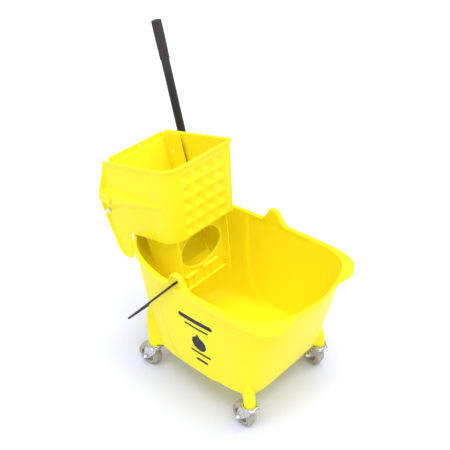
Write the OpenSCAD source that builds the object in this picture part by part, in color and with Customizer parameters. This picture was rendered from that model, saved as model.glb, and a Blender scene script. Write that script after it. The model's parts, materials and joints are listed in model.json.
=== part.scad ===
// Wheeled mop bucket with a side-press wringer, its lever and a wire bail.
// Millimetres, +Z up, +X towards the pouring end, +Y towards the lever.
// The origin is on the floor, under the middle of the whole outline.

/* [Bucket] */
// Height of the rim above the floor
rim_z = 431; // [426:1:436]
// Extra height of the rim where the wringer sits
rim_rise = 12; // [4:1:12]
// Wall thickness
wall_t = 4; // [3:0.5:5]
// Half-width of the walls at the rim
half_top = 192; // [188:1:193]
// Half-width of the walls at the foot
half_foot = 172; // [168:1:173]
// Depth of the turned-down skirt of the rim
skirt = 22; // [16:1:26]

/* [Casters] */
// Distance between the front and rear swivel axes
wheelbase = 392; // [386:1:396]
// Distance between the left and right swivel axes
track = 312; // [308:1:316]
// Wheel diameter
wheel_d = 76; // [74:0.5:76]
// Wheel width
wheel_w = 32; // [28:1:32]
// Distance from the swivel axis to the axle
trail = 27; // [24:1:29]

/* [Bail] */
// Radius of the bail wire
wire_r = 3.2; // [2.8:0.1:3.4]
// Length of each arm of the bail
bail_len = 354; // [353:1:358]
// Angle of the bail below level at rest
bail_down = 45.9; // [45.7:0.1:45.9]

/* [Wringer] */
// Upward slope of the wringer towards the front, in degrees
pitch = 10.7; // [10.5:0.1:10.9]
// Half-width of the wringer basket
wr_half = 118; // [116:1:119]
// Wall thickness of the wringer
wr_t = 4; // [3.5:0.5:4.5]
// Depth of each waffle recess in the front wall
waffle = 5; // [3:0.5:6]

/* [Press] */
// Travel of the press plate for each radian of the lever
cam_k = 35; // [34:0.5:35]
// Lever travel in degrees
lever_deg = 95; // [85:1:95]
// Radius of the pivot shaft
shaft_r = 9; // [8:0.5:9]

/* [Lever] */
// Length of the lever from the shaft to the top of the grip
lever_len = 426; // [400:1:440]
// Backward lean of the lever at rest, in degrees
lean = 9; // [8:0.5:9]
// Radius of the lever tube
tube_r = 12.5; // [11:0.5:12.5]
// Radius of the grip
grip_r = 14.5; // [14:0.5:16]

/* [Hidden] */
$fn = 48;
// Middle of the outline along X, measured from the middle of the wheelbase
x_mid = -35.54;
ring_n = 60;
shell_rows = 24;
// Wall left behind the blind holes that hold the bail's ends
blind_skin = 1.5;
foot_z = 96;
split_z = 125;
knee_z = 125;
post_z = 86;
post_r = 17;
pivot_x = 5;
pivot_z = 450;
ear_in = 188;
ear_web = 6;
ear_rise = 45;
ear_flat = 14;
ear_foot = 50;
rim_half = 201;
arm_y = 207;
wheel_r = wheel_d / 2;
fork_t = 2.5;
fork_in = wheel_w / 2 + 1.5;
shaft_x = -12;
shaft_z = -111;
phi_0 = 16 / cam_k;
phi_1 = phi_0 + lever_deg * PI / 180 + 0.06;
arm_w = 14;
pin_r = 3;
pin_gap = 0.9;
press_foot = -212;
pin_x = shaft_x + 16 - arm_w - pin_r - pin_gap;
wing_y = wr_half - wr_t - 7.5;
cam_y = 42;
cam_t = 10;
boss_out = 16;
floor_z = -220;
floor_t = 4;
thick_t = 9;
front_tilt = atan(53 / 225);
front_x = 284 * cos(front_tilt);
yaw_fr = -6;
yaw_fl = -6;
yaw_rr = 6;
yaw_rl = -2;
grip_len = 112;
tube_off = 30;
tube_y = 165;

// ---------- shared frames ----------

// Puts a child drawn from the middle of the wheelbase into the part's frame
module world() {
  translate([-x_mid, 0, 0])
    children();
}

// Frame of the wringer: X runs forward along the sloping rim, from the rear top edge
module wringer_frame() {
  world()
    translate([-349, 0, 660])
      rotate([0, -pitch, 0])
        children();
}

// Frame of the pivot shaft, leaning back with the lever
module lever_frame() {
  wringer_frame()
    translate([shaft_x, 0, shaft_z])
      rotate([0, pitch - lean, 0])
        children();
}

// A cylinder along Y from y0 to y1
module ybar(r, y0, y1) {
  translate([0, y1, 0])
    rotate([90, 0, 0])
      cylinder(h = y1 - y0, r = r);
}

// ---------- bucket ----------

function ramp(v) = v <= 0 ? 0 : v >= 1 ? 1 : v * v * (3 - 2 * v);

function mix(a, b, s) = a + (b - a) * s;

// Radius of a superellipse in direction t
function se(a, b, n, t) = 1 / pow(pow(abs(cos(t)) / a, n) + pow(abs(sin(t)) / b, n), 1 / n);

// Plan point of a closed outline: blunt and bowed in front, rounder behind
function plan(t, front, rear, half, n_f, n_r, bow) =
  let (r = cos(t) >= 0 ? se(front, half, n_f, t) : se(rear, half, n_r, t))
  let (x = r * cos(t), y = r * sin(t))
  [cos(t) >= 0 ? x * (1 - bow * pow(abs(y) / half, 1.3)) : x, y];

// Outer face of the wall at fraction s of its height, moved in by d
function wall_pt(t, s, d) =
  plan(t, mix(212, 326, s) - d, mix(222, 287, s) - d, mix(half_foot, half_top, s) - d,
    6, mix(4, 2.6, s), 0.13 * s);

// Outer edge of the rim flange
function rim_pt(t) = plan(t, 333, 296, rim_half, 7, 2.5, 0.05);

// 1 where the rim has its full flange, 0 at the pouring lip in front
function full(t) = cos(t) < 0 ? 1 : ramp((abs(t > 180 ? t - 360 : t) - 10) / 12);

function top_z(t) =
  rim_z + rim_rise * ramp((-cos(t) - 0.3) / 0.6) - 3 * (1 - full(t));

// Point at fraction f of the way from the wall at the rim to the flange edge
function lip_pt(t, f) =
  let (a = wall_pt(t, 1, 0), b = rim_pt(t), k = f * (0.15 + 0.85 * full(t)))
  [mix(a[0], b[0], k), mix(a[1], b[1], k)];

function at_z(p, z) = [p[0], p[1], z];

// One point of the shell: level i of the section, direction t
function shell_pt(i, t) =
  i < 4 ? at_z(wall_pt(t, 0, [26, 12, 3.5, 0][i]), [foot_z, 101, 111, knee_z][i]) :
  i < 8 ? at_z(wall_pt(t, (i - 3) / 5, 0), mix(knee_z, rim_z - 16, (i - 3) / 5)) :
  i == 8 ? at_z(wall_pt(t, 1, 0), top_z(t) - 4) :
  i == 9 ? at_z(lip_pt(t, 0.72), top_z(t) - 4) :
  i == 10 ? at_z(lip_pt(t, 0.75), top_z(t) - mix(4.5, skirt, full(t))) :
  i == 11 ? at_z(lip_pt(t, 1), top_z(t) - mix(4.5, skirt, full(t))) :
  i == 12 ? at_z(lip_pt(t, 1), top_z(t) - 4) :
  i == 13 ? at_z(lip_pt(t, 0.8), top_z(t)) :
  i == 14 ? at_z(wall_pt(t, 1, wall_t - 1), top_z(t)) :
  i == 15 ? at_z(wall_pt(t, 1, wall_t), top_z(t) - 3) :
  i < 20 ? at_z(wall_pt(t, (20 - i) / 5, wall_t), mix(knee_z, rim_z - 16, (20 - i) / 5)) :
  i == 20 ? at_z(wall_pt(t, 0, wall_t), knee_z) :
  i == 21 ? at_z(wall_pt(t, 0, wall_t + 4), 113) :
  i == 22 ? at_z(wall_pt(t, 0, wall_t + 14), 104) :
  at_z(wall_pt(t, 0, wall_t + 30), foot_z + 4);

module shell_body() {
  pts = concat(
    [for (i = [0:shell_rows - 1]) for (j = [0:ring_n - 1]) shell_pt(i, j * 360 / ring_n)],
    [[0, 0, foot_z], [0, 0, foot_z + 4]]
  );
  base = shell_rows * ring_n;
  sides_a = [for (i = [0:shell_rows - 2]) for (j = [0:ring_n - 1])
    let (k = (j + 1) % ring_n)
    [i * ring_n + j, (i + 1) * ring_n + j, (i + 1) * ring_n + k]];
  sides_b = [for (i = [0:shell_rows - 2]) for (j = [0:ring_n - 1])
    let (k = (j + 1) % ring_n)
    [i * ring_n + j, (i + 1) * ring_n + k, i * ring_n + k]];
  under = [for (j = [0:ring_n - 1]) [base, j, (j + 1) % ring_n]];
  top_row = (shell_rows - 1) * ring_n;
  floor_in = [for (j = [0:ring_n - 1]) [base + 1, top_row + (j + 1) % ring_n, top_row + j]];
  polyhedron(points = pts, faces = concat(sides_a, sides_b, under, floor_in), convexity = 6);
}

// The bucket moulding: shell, corner posts and the fairings over the rear posts
module bucket_moulding() {
  world()
    difference() {
      union() {
        shell_body();
        for (sx = [-1, 1])
          for (sy = [-1, 1])
            translate([sx * wheelbase / 2, sy * track / 2, post_z]) {
              cylinder(h = sx < 0 ? 84 : 34, r = post_r);
              if (sx < 0)
                translate([0, 0, 84])
                  cylinder(h = 60, r1 = post_r, r2 = 3);
            }
      }
      for (sx = [-1, 1])
        for (sy = [-1, 1])
          translate([sx * wheelbase / 2, sy * track / 2, post_z - 1])
            cylinder(h = 27, r = 5.6);
    }
}

// Walls and rim, above the split
module bucket_shell() {
  color([0.96, 0.86, 0.08])
    intersection() {
      bucket_moulding();
      translate([-500, -500, split_z])
        cube([1000, 1000, 500]);
    }
}

// Floor, lower curve and posts, below the split
module bucket_base() {
  color([0.96, 0.86, 0.08])
    intersection() {
      bucket_moulding();
      translate([-500, -500, split_z - 200])
        cube([1000, 1000, 200]);
    }
}

// Height of the ear above the rim at distance x from the pivot
function bell(x) = ear_rise * (1 - ramp((abs(x) - ear_flat) / (ear_foot - ear_flat)));

// Raised ear on the rim: a web with the bail's blind pivot hole, under an arched band
module ear(side) {
  crest = [for (x = [-ear_foot:4:ear_foot]) [x, bell(x)]];
  under = [for (x = [ear_foot - 8:-4:8 - ear_foot]) [x, max(0, bell(x) - 6)]];
  color([0.96, 0.86, 0.08])
    world()
      mirror([0, side > 0 ? 0 : 1, 0])
        translate([pivot_x, 0, 0])
          difference() {
            union() {
              translate([0, ear_in + ear_web, rim_z])
                rotate([90, 0, 0])
                  linear_extrude(ear_web)
                    polygon(crest);
              translate([0, rim_half, rim_z])
                rotate([90, 0, 0])
                  linear_extrude(rim_half - ear_in)
                    polygon(concat(crest, under));
            }
            translate([0, 0, pivot_z])
              ybar(wire_r + 0.05, ear_in + blind_skin, rim_half + 30);
          }
}

// Plain mark on the near side: bars and a drop, no lettering
module side_mark() {
  slope = atan((half_top - half_foot) / (rim_z - 16 - knee_z));
  color([0.06, 0.06, 0.07])
    world()
      translate([48, -half_foot + 0.3, knee_z])
        rotate([90 + slope, 0, 0])
          linear_extrude(0.9)
            union() {
              translate([-62, 201])
                square([124, 16]);
              translate([-44, 181])
                square([88, 7]);
              translate([0, 124])
                circle(r = 26);
              translate([0, 124])
                rotate(45)
                  square([26, 26]);
              translate([-38, 82])
                square([76, 8]);
              translate([-22, 52])
                square([44, 10]);
            }
}

// ---------- casters ----------

module at_corner(sx, sy) {
  world()
    translate([sx * wheelbase / 2, sy * track / 2, 0])
      children();
}

module stem(sx, sy) {
  color([0.72, 0.73, 0.74])
    at_corner(sx, sy) {
      translate([0, 0, wheel_d + 1.4])
        cylinder(h = post_z + 25 - wheel_d - 1.4, r = 5.5);
      translate([0, 0, wheel_d + 4.1])
        cylinder(h = 2.2, r = 22.5);
      translate([0, 0, wheel_d + 4.1])
        cylinder(h = post_z - wheel_d - 4.2, r = 20.5);
      translate([0, 0, post_z - 2.3])
        cylinder(h = 2.2, r = 22);
    }
}

module fork(sx, sy, yaw) {
  reach = fork_in + fork_t;
  color([0.70, 0.71, 0.72])
    at_corner(sx, sy)
      rotate([0, 0, yaw])
        difference() {
          union() {
            translate([0, 0, wheel_d + 1.2])
              cylinder(h = 2.4, r = 22.5);
            translate([-24, -reach, wheel_d + 1.2])
              cube([42, 2 * reach, 2.4]);
            for (side = [-1, 1])
              translate([0, side > 0 ? reach : -fork_in, 0])
                rotate([90, 0, 0])
                  linear_extrude(fork_t)
                    union() {
                      polygon([[-24, wheel_d + 2], [18, wheel_d + 2], [18, wheel_d - 4],
                        [-trail + 10, wheel_r - 4], [-trail - 10, wheel_r + 2], [-31, wheel_d - 16]]);
                      translate([-trail, wheel_r])
                        circle(r = 11);
                    }
          }
          translate([0, 0, wheel_d])
            cylinder(h = 8, r = 5.55);
          translate([-trail, 0, wheel_r])
            ybar(4.05, -reach - 1, reach + 1);
        }
}

module wheel(sx, sy, yaw) {
  color([0.72, 0.68, 0.60])
    at_corner(sx, sy)
      rotate([0, 0, yaw])
        translate([-trail, 0, wheel_r])
          rotate([90, 0, 0])
            difference() {
              union() {
                cylinder(h = wheel_w - 8, r = wheel_r, center = true, $fn = 72);
                cylinder(h = wheel_w, r = wheel_r - 5, center = true, $fn = 72);
                rotate_extrude($fn = 72)
                  for (s = [-1, 1])
                    translate([wheel_r - 5, s * (wheel_w / 2 - 5)])
                      circle(r = 5);
                cylinder(h = 2 * fork_in - 0.8, r = 8, center = true);
              }
              for (s = [-1, 1])
                translate([0, 0, s * (wheel_w / 2)])
                  difference() {
                    cylinder(h = 12, r = wheel_r - 10, center = true, $fn = 72);
                    cylinder(h = 14, r = 13, center = true);
                  }
              cylinder(h = wheel_w + 8, r = 4.05, center = true);
            }
}

module axle(sx, sy, yaw) {
  reach = fork_in + fork_t;
  color([0.80, 0.81, 0.82])
    at_corner(sx, sy)
      rotate([0, 0, yaw])
        translate([-trail, 0, wheel_r]) {
          ybar(4, -reach - 1, reach + 7);
          translate([0, -reach, 0])
            rotate([90, 0, 0])
              cylinder(h = 3.5, r1 = 7.5, r2 = 5);
          translate([0, reach + 5, 0])
            rotate([90, 0, 0])
              cylinder(h = 5, r = 7.5, $fn = 6);
        }
}

// ---------- bail ----------

module bail_wire() {
  bend = 14;
  color([0.07, 0.07, 0.08])
    world()
      translate([pivot_x, 0, pivot_z])
        rotate([0, -bail_down, 0]) {
          for (side = [-1, 1]) {
            mirror([0, side > 0 ? 0 : 1, 0])
              ybar(wire_r, ear_in + blind_skin + 0.3, arm_y);
            translate([0, side * arm_y, 0])
              sphere(r = wire_r);
            translate([0, side * arm_y, 0])
              rotate([0, -90, 0])
                cylinder(h = bail_len - bend, r = wire_r);
            translate([-(bail_len - bend), side * (arm_y - bend), 0])
              rotate([0, 0, side > 0 ? 90 : 180])
                rotate_extrude(angle = 90)
                  translate([bend, 0])
                    circle(r = wire_r);
          }
          translate([-bail_len, 0, 0])
            ybar(wire_r, -arm_y + bend, arm_y - bend);
        }
}

// ---------- wringer body ----------

// Plan of the basket seen down its front wall, grown outward by o
module basket_plan(o) {
  union() {
    translate([-420, -wr_half - o])
      square([420 + front_x - 45, 2 * wr_half + 2 * o]);
    translate([front_x - 46, -wr_half + 45])
      square([46 + o, 2 * wr_half - 53]);
    translate([front_x - 45, -wr_half + 45])
      circle(r = 45 + o);
    translate([front_x - 46, wr_half - 20])
      square([38, 20 + o]);
    translate([front_x - 8, wr_half - 8])
      circle(r = 8 + o);
  }
}

// Side view of the basket walls with the tails that hang behind the bucket
module basket_side() {
  polygon([[0, 0], [320, 0], [320, -225], [44, -225], [27, -232], [14, -300], [8, -312],
    [-28, -312], [-40, -298], [-68, -145], [-56, -112], [-46, -92]]);
}

// Walls between the plan grown by o and the plan shrunk by i, between z0 and z1
module basket_band(o, i) {
  rotate([0, front_tilt, 0])
    translate([0, 0, -420])
      linear_extrude(560)
        difference() {
          basket_plan(o);
          basket_plan(-i);
        }
}

module front_plate(t, y0, y1, z0, z1) {
  rotate([0, front_tilt, 0])
    translate([front_x - t, y0, z0])
      cube([t, y1 - y0, z1 - z0]);
}

module wringer_basket() {
  color([0.96, 0.86, 0.08])
    wringer_frame()
      difference() {
        union() {
          intersection() {
            basket_band(0, wr_t);
            translate([0, wr_half + 1, 0])
              rotate([90, 0, 0])
                linear_extrude(2 * wr_half + 2)
                  basket_side();
          }
          // rolled rim
          intersection() {
            basket_band(4, 1);
            translate([0, -wr_half - 10, -7])
              cube([320, 2 * wr_half + 20, 8]);
          }
          // thick field of the front wall that carries the waffle
          intersection() {
            front_plate(thick_t, -73, wr_half - 4, -320, 40);
            translate([0, -wr_half, -221])
              cube([320, 2 * wr_half, 200]);
          }
          // bosses and their tapered fairings
          for (side = [-1, 1]) {
            translate([shaft_x, 0, shaft_z])
              ybar(24, side > 0 ? wr_half - 6 : -wr_half - boss_out,
                side > 0 ? wr_half + boss_out : -wr_half + 6);
            intersection() {
              translate([shaft_x, side * wr_half, shaft_z])
                rotate([0, 90, 0])
                  cylinder(h = 235, r1 = 24, r2 = 3);
              translate([-60, side > 0 ? wr_half - 3 : -wr_half - boss_out, -200])
                cube([400, boss_out + 3, 200]);
            }
            // flange down the back edge of each tail
            intersection() {
              translate([0, side > 0 ? wr_half + 9 : -wr_half + 3, 0])
                rotate([90, 0, 0])
                  linear_extrude(12)
                    difference() {
                      basket_side();
                      translate([5, 3])
                        basket_side();
                      translate([-20, -340])
                        square([400, 400]);
                      translate([-200, -126])
                        square([400, 200]);
                    }
              translate([-200, -wr_half - 20, -400])
                cube([400, 2 * wr_half + 40, 400]);
            }
          }
          // guide rails for the press plate
          for (side = [-1, 1])
            translate([2, side > 0 ? wr_half - wr_t - 3 : -wr_half + wr_t - 0.5, -152])
              cube([150, 3.5, 4]);
        }
        // waffle recesses
        rotate([0, front_tilt, 0])
          for (c = [0:3])
            for (r = [0:4])
              translate([front_x + 0.5, c * 42 - 55, 22 - r * 41])
                rotate([0, -90, 0])
                  rotate([0, 0, 45])
                    cylinder(h = waffle + 0.5, r1 = 23, r2 = 5, $fn = 4);
        // bush seats, tie rod and the sight hole in the far wall
        translate([shaft_x, 0, shaft_z])
          ybar(14, -wr_half - 30, wr_half + 30);
        translate([-38, 0, -160])
          ybar(4, -wr_half - 30, wr_half + 30);
        translate([24, 0, -63])
          ybar(9, wr_half - 20, wr_half + 20);
      }
}

// Floor between the basket walls, with rows of drain slots
module basket_floor() {
  color([0.96, 0.86, 0.08])
    wringer_frame()
      difference() {
        intersection() {
          translate([12, -wr_half, floor_z])
            cube([300, 2 * wr_half, floor_t]);
          rotate([0, front_tilt, 0])
            translate([0, 0, -420])
              linear_extrude(560)
                basket_plan(-wr_t);
        }
        front_plate(thick_t, -73, wr_half - 4, -320, 40);
        for (i = [0:4])
          for (j = [-2:2])
            translate([36 + i * 36, j * 42 - 14, floor_z - 2])
              cube([9, 28, floor_t + 4]);
      }
}

// Everything below the underside of the basket floor
module under_floor() {
  wringer_frame()
    translate([-200, -200, floor_z - 400])
      cube([600, 400, 400]);
}

module drain_chute() {
  color([0.96, 0.86, 0.08])
    intersection() {
      under_floor();
      world()
        difference() {
          union() {
            // side walls
            for (side = [-1, 1])
              translate([0, side > 0 ? 97 : -93, 0])
                rotate([90, 0, 0])
                  linear_extrude(4)
                    polygon([[-243, 500], [-236, 441], [-211, 364], [-176, 300], [-150, 284],
                      [-98, 270], [-90, 280], [-90, 500]]);
            // front panel
            translate([-112, -94, 284])
              cube([4, 188, 230]);
            // raised band round the opening
            translate([-109, 0, 405])
              rotate([90, 0, 90])
                linear_extrude(3)
                  oval(86, 66);
            // raised bars and ribs under the opening
            for (y = [-78, -6])
              translate([-109, y, 330])
                cube([7, y < -50 ? 52 : 62, 9]);
            for (y = [-94, -34, -6, 30, 66])
              translate([-109, y, 286])
                cube([5, 4, 46]);
            translate([-109, -94, 284])
              cube([5, 188, 4]);
            // sloping back plate
            translate([-211, -94, 364])
              rotate([0, -18, 0])
                translate([0, 0, -62])
                  cube([4, 188, 190]);
          }
          translate([-130, 0, 405])
            rotate([90, 0, 90])
              linear_extrude(40)
                oval(78, 58);
        }
    }
}

// An oval with semi-axes a along X and b along Y
module oval(a, b) {
  polygon([for (i = [0:47]) [a * cos(i * 7.5), b * sin(i * 7.5)]]);
}

module bush(side) {
  color([0.88, 0.87, 0.84])
    wringer_frame()
      translate([shaft_x, 0, shaft_z])
        difference() {
          union() {
            ybar(14, side > 0 ? wr_half - 6 : -wr_half - boss_out,
              side > 0 ? wr_half + boss_out : -wr_half + 6);
            ybar(17, side > 0 ? wr_half - 9 : -wr_half + 6, side > 0 ? wr_half - 6 : -wr_half + 9);
          }
          ybar(shaft_r + 0.05, -wr_half - 40, wr_half + 40);
        }
}

module bearing_cap() {
  color([0.96, 0.86, 0.08])
    wringer_frame()
      translate([shaft_x, 0, shaft_z])
        ybar(18.5, -wr_half - boss_out - 3, -wr_half - boss_out);
}

module tie_rod() {
  color([0.78, 0.79, 0.80])
    wringer_frame()
      translate([-38, 0, -160])
        ybar(3.95, -wr_half - 12, wr_half + 12);
}

module tie_nut(side) {
  color([0.75, 0.76, 0.78])
    wringer_frame()
      translate([-38, 0, -160])
        difference() {
          translate([0, side > 0 ? wr_half + 6.5 : -wr_half, 0])
            rotate([90, 0, 0])
              cylinder(h = 6.5, r = 7, $fn = 6);
          ybar(3.95, -wr_half - 30, wr_half + 30);
        }
}

// ---------- press ----------

// Panel with its top flange, the step between them, ribs and the lugs of the return pins
module press_plate() {
  color([0.97, 0.88, 0.12])
    wringer_frame()
      difference() {
        union() {
          translate([-5, -95, -17])
            cube([4, 95 + wing_y, 16]);
          translate([-5, -wing_y, -20])
            cube([13, 2 * wing_y, 4]);
          translate([4, -wing_y, press_foot])
            cube([4, 2 * wing_y, -19 - press_foot]);
          translate([-5, wing_y - 3, -20])
            cube([13, 3, 19]);
          for (c = [-cam_y, cam_y])
            for (s = [-1, 1])
              translate([pin_x - 4, c + s * 7.5 - 1.5, shaft_z + cam_k - 6])
                cube([8 - pin_x, 3, 12]);
        }
        // hang hole in the top flange
        translate([-20, 19, -9])
          rotate([0, 90, 0])
            cylinder(h = 30, r = 3);
        // seats of the return pins
        translate([pin_x, 0, shaft_z + cam_k])
          ybar(pin_r, -60, 60);
      }
}

// Side wing of the plate, with the pads that ride above and below the guide rail
module press_wing(side) {
  color([0.97, 0.88, 0.12])
    wringer_frame()
      difference() {
        union() {
          translate([8, side > 0 ? wing_y - 3 : -wing_y, press_foot])
            cube([74, 3, side > 0 ? -1 - press_foot : -19 - press_foot]);
          for (z = [-160, -147.5])
            translate([8, side > 0 ? wing_y - 0.5 : -wing_y - 6.5, z])
              cube([70, 7, 7.5]);
        }
        // sight hole in the far wing
        translate([33, 0, -58])
          ybar(4, wing_y - 10, wing_y + 10);
      }
}

module return_pin(side) {
  color([0.78, 0.79, 0.80])
    wringer_frame()
      translate([pin_x, side * cam_y, shaft_z + cam_k])
        ybar(pin_r, -9, 9);
}

// Point of the cam face for roll angle p, at rest, moved inward by w
function cam_pt(p, w) =
  let (d = (p - phi_0) * 180 / PI)
  [(cam_k * p - w) * cos(d) - cam_k * sin(d), (cam_k * p - w) * sin(d) + cam_k * cos(d)];

module cam(side) {
  steps = 36;
  inner_0 = (arm_w + 0.5) / cam_k;
  color([0.30, 0.31, 0.33])
    wringer_frame()
      translate([shaft_x, side * cam_y + cam_t / 2, shaft_z])
        rotate([90, 0, 0])
          linear_extrude(cam_t)
            difference() {
              union() {
                circle(r = 16);
                polygon([[-12, 10.5], [16, 0], cam_pt(0.02, 0.25), cam_pt(inner_0, arm_w)]);
                polygon(concat(
                  [for (i = [0:steps]) cam_pt(mix(0.02, phi_1, i / steps), 0.25)],
                  [for (i = [0:steps]) cam_pt(mix(phi_1, inner_0, i / steps), arm_w)]
                ));
              }
              circle(r = shaft_r);
            }
}

module pivot_shaft() {
  color([0.74, 0.75, 0.77])
    wringer_frame()
      translate([shaft_x, 0, shaft_z])
        ybar(shaft_r, -wr_half - 15, tube_y + 18);
}

// ---------- lever ----------

module lever_socket() {
  color([0.09, 0.09, 0.10])
    lever_frame()
      difference() {
        union() {
          ybar(21, wr_half + 18, tube_y + 17);
          translate([tube_off, tube_y, -6])
            cylinder(h = 84, r = 17);
          translate([0, tube_y - 12, -14])
            cube([tube_off + 4, 24, 40]);
        }
        ybar(shaft_r, wr_half, tube_y + 30);
        translate([tube_off, tube_y, 2])
          cylinder(h = 100, r = tube_r);
        translate([tube_off, tube_y, 52])
          ybar(3, -40, 40);
      }
}

module lever_tube() {
  color([0.10, 0.09, 0.10])
    lever_frame()
      translate([tube_off, tube_y, 2])
        difference() {
          cylinder(h = lever_len - 8, r = tube_r);
          translate([0, 0, -1])
            cylinder(h = lever_len + 10, r = tube_r - 2);
          translate([0, 0, 50])
            ybar(3, -40, 40);
        }
}

module lever_bolt() {
  color([0.78, 0.79, 0.80])
    lever_frame()
      translate([tube_off, tube_y, 52]) {
        ybar(3, -19, 20);
        translate([0, -17, 0])
          rotate([90, 0, 0])
            cylinder(h = 4, r = 5.5, $fn = 6);
        translate([0, 21, 0])
          rotate([90, 0, 0])
            cylinder(h = 4, r = 5.5, $fn = 6);
      }
}

module lever_grip() {
  color([0.20, 0.18, 0.19])
    lever_frame()
      translate([tube_off, tube_y, lever_len - grip_len])
        difference() {
          union() {
            cylinder(h = grip_len, r = grip_r);
            cylinder(h = 5, r = grip_r + 0.5);
            translate([0, 0, grip_len - 8])
              cylinder(h = 8, r = grip_r + 0.7);
          }
          translate([0, 0, -1])
            cylinder(h = grip_len - 5, r = tube_r);
        }
}

// ---------- parts ----------

bucket_shell();
bucket_base();
ear(-1);  // ear_right
ear(1);  // ear_left
side_mark();
bail_wire();
stem(1, -1);  // stem_fr
stem(1, 1);  // stem_fl
stem(-1, -1);  // stem_rr
stem(-1, 1);  // stem_rl
fork(1, -1, yaw_fr);  // fork_fr
fork(1, 1, yaw_fl);  // fork_fl
fork(-1, -1, yaw_rr);  // fork_rr
fork(-1, 1, yaw_rl);  // fork_rl
wheel(1, -1, yaw_fr);  // wheel_fr
wheel(1, 1, yaw_fl);  // wheel_fl
wheel(-1, -1, yaw_rr);  // wheel_rr
wheel(-1, 1, yaw_rl);  // wheel_rl
axle(1, -1, yaw_fr);  // axle_fr
axle(1, 1, yaw_fl);  // axle_fl
axle(-1, -1, yaw_rr);  // axle_rr
axle(-1, 1, yaw_rl);  // axle_rl
wringer_basket();
basket_floor();
drain_chute();
bush(-1);  // bush_right
bush(1);  // bush_left
bearing_cap();
tie_rod();
tie_nut(-1);  // tie_nut_right
tie_nut(1);  // tie_nut_left
press_plate();
press_wing(-1);  // press_wing_right
press_wing(1);  // press_wing_left
return_pin(-1);  // return_pin_right
return_pin(1);  // return_pin_left
pivot_shaft();
cam(-1);  // cam_right
cam(1);  // cam_left
lever_socket();
lever_tube();
lever_bolt();
lever_grip();
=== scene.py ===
"""Looks of the wheeled mop bucket and its side-press wringer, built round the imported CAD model.

Named sizes are millimetres and become metres when a mesh is made. The part's frame has +X towards
the pouring end, +Y towards the lever and +Z up. Places come from the CAD model's joints and boxes.
"""

import json
from math import atan2, cos, hypot, pi, radians, sin

import bmesh
import bpy
import numpy as np
from mathutils import Matrix, Vector
from mathutils.bvhtree import BVHTree


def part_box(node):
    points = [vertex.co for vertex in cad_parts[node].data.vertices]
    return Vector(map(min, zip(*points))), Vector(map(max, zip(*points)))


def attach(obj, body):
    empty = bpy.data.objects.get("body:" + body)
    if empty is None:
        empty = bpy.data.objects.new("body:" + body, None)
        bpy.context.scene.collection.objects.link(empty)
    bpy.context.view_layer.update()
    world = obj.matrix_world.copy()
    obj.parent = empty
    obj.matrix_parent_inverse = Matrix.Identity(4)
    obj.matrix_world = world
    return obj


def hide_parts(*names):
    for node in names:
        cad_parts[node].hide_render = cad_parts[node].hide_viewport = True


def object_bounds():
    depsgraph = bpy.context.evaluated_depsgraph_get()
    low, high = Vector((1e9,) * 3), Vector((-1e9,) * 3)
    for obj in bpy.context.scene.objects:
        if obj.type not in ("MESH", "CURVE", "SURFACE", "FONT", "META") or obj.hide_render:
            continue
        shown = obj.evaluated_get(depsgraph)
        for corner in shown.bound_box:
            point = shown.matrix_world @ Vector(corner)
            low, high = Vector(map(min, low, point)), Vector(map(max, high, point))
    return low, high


MM = 0.001
SIDES = {"right": -1, "left": 1}
CORNERS = {"fr": (1, -1), "fl": (1, 1), "rr": (-1, -1), "rl": (-1, 1)}

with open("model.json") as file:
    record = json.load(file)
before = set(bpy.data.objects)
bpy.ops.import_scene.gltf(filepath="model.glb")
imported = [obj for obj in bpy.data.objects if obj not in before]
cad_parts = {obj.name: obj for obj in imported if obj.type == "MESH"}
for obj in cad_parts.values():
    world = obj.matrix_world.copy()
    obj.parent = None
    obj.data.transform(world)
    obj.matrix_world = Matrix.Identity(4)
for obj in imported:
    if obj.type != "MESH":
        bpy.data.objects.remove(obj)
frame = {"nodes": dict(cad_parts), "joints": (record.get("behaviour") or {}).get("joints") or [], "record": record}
cad_low, cad_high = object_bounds()
JOINTS = {joint["name"]: joint for joint in frame["joints"]}


# ---------- places taken from the CAD model ----------

def joint_point(name):
    """Where a hinge's axis passes, in millimetres."""
    return Vector(JOINTS[name]["pos_m"]) / MM


def node_box(node):
    """The lowest and highest corner of a CAD node, in millimetres."""
    low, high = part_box(node)
    return low / MM, high / MM


def shift(x, y, z):
    return Matrix.Translation((x, y, z))


def turn(angle, axis):
    """A rotation by an angle in degrees."""
    return Matrix.Rotation(radians(angle), 4, axis)


SWIVELS = {corner: joint_point("swivel_" + corner) for corner in CORNERS}
MID_X = sum(point.x for point in SWIVELS.values()) / len(SWIVELS)
BASE = shift(MID_X, 0, 0)

# The wringer's own frame: X runs up its sloping rim, from the rear top edge
SHAFT = joint_point("lever_turn")
SHAFT_IN_WRINGER = Vector((-12, 0, -111))
RIM_DIRECTION = Vector(JOINTS["press_slide"]["axis"])
PITCH = atan2(RIM_DIRECTION.z, RIM_DIRECTION.x)
WRINGER_TURN = Matrix.Rotation(-PITCH, 4, "Y")
WRINGER = Matrix.Translation(SHAFT) @ WRINGER_TURN @ Matrix.Translation(-SHAFT_IN_WRINGER)

LEAN = 9
LEVER = Matrix.Translation(SHAFT) @ turn(-LEAN, "Y")
BAIL_DOWN = 45.9
BAIL = Matrix.Translation(joint_point("bail_swing")) @ turn(-BAIL_DOWN, "Y")


def caster_place(corner):
    """Frame of one caster: origin on the floor under its swivel, turned with its fork."""
    axle = JOINTS["spin_" + corner]["axis"]
    yaw = atan2(-axle[0], axle[1])
    point = SWIVELS[corner]
    return shift(point.x, point.y, 0) @ Matrix.Rotation(yaw, 4, "Z")


# ---------- mesh helpers ----------

def smooth_step(value):
    value = np.clip(value, 0, 1)
    return value * value * (3 - 2 * value)


def mix(a, b, share):
    return a + (b - a) * share


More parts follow.
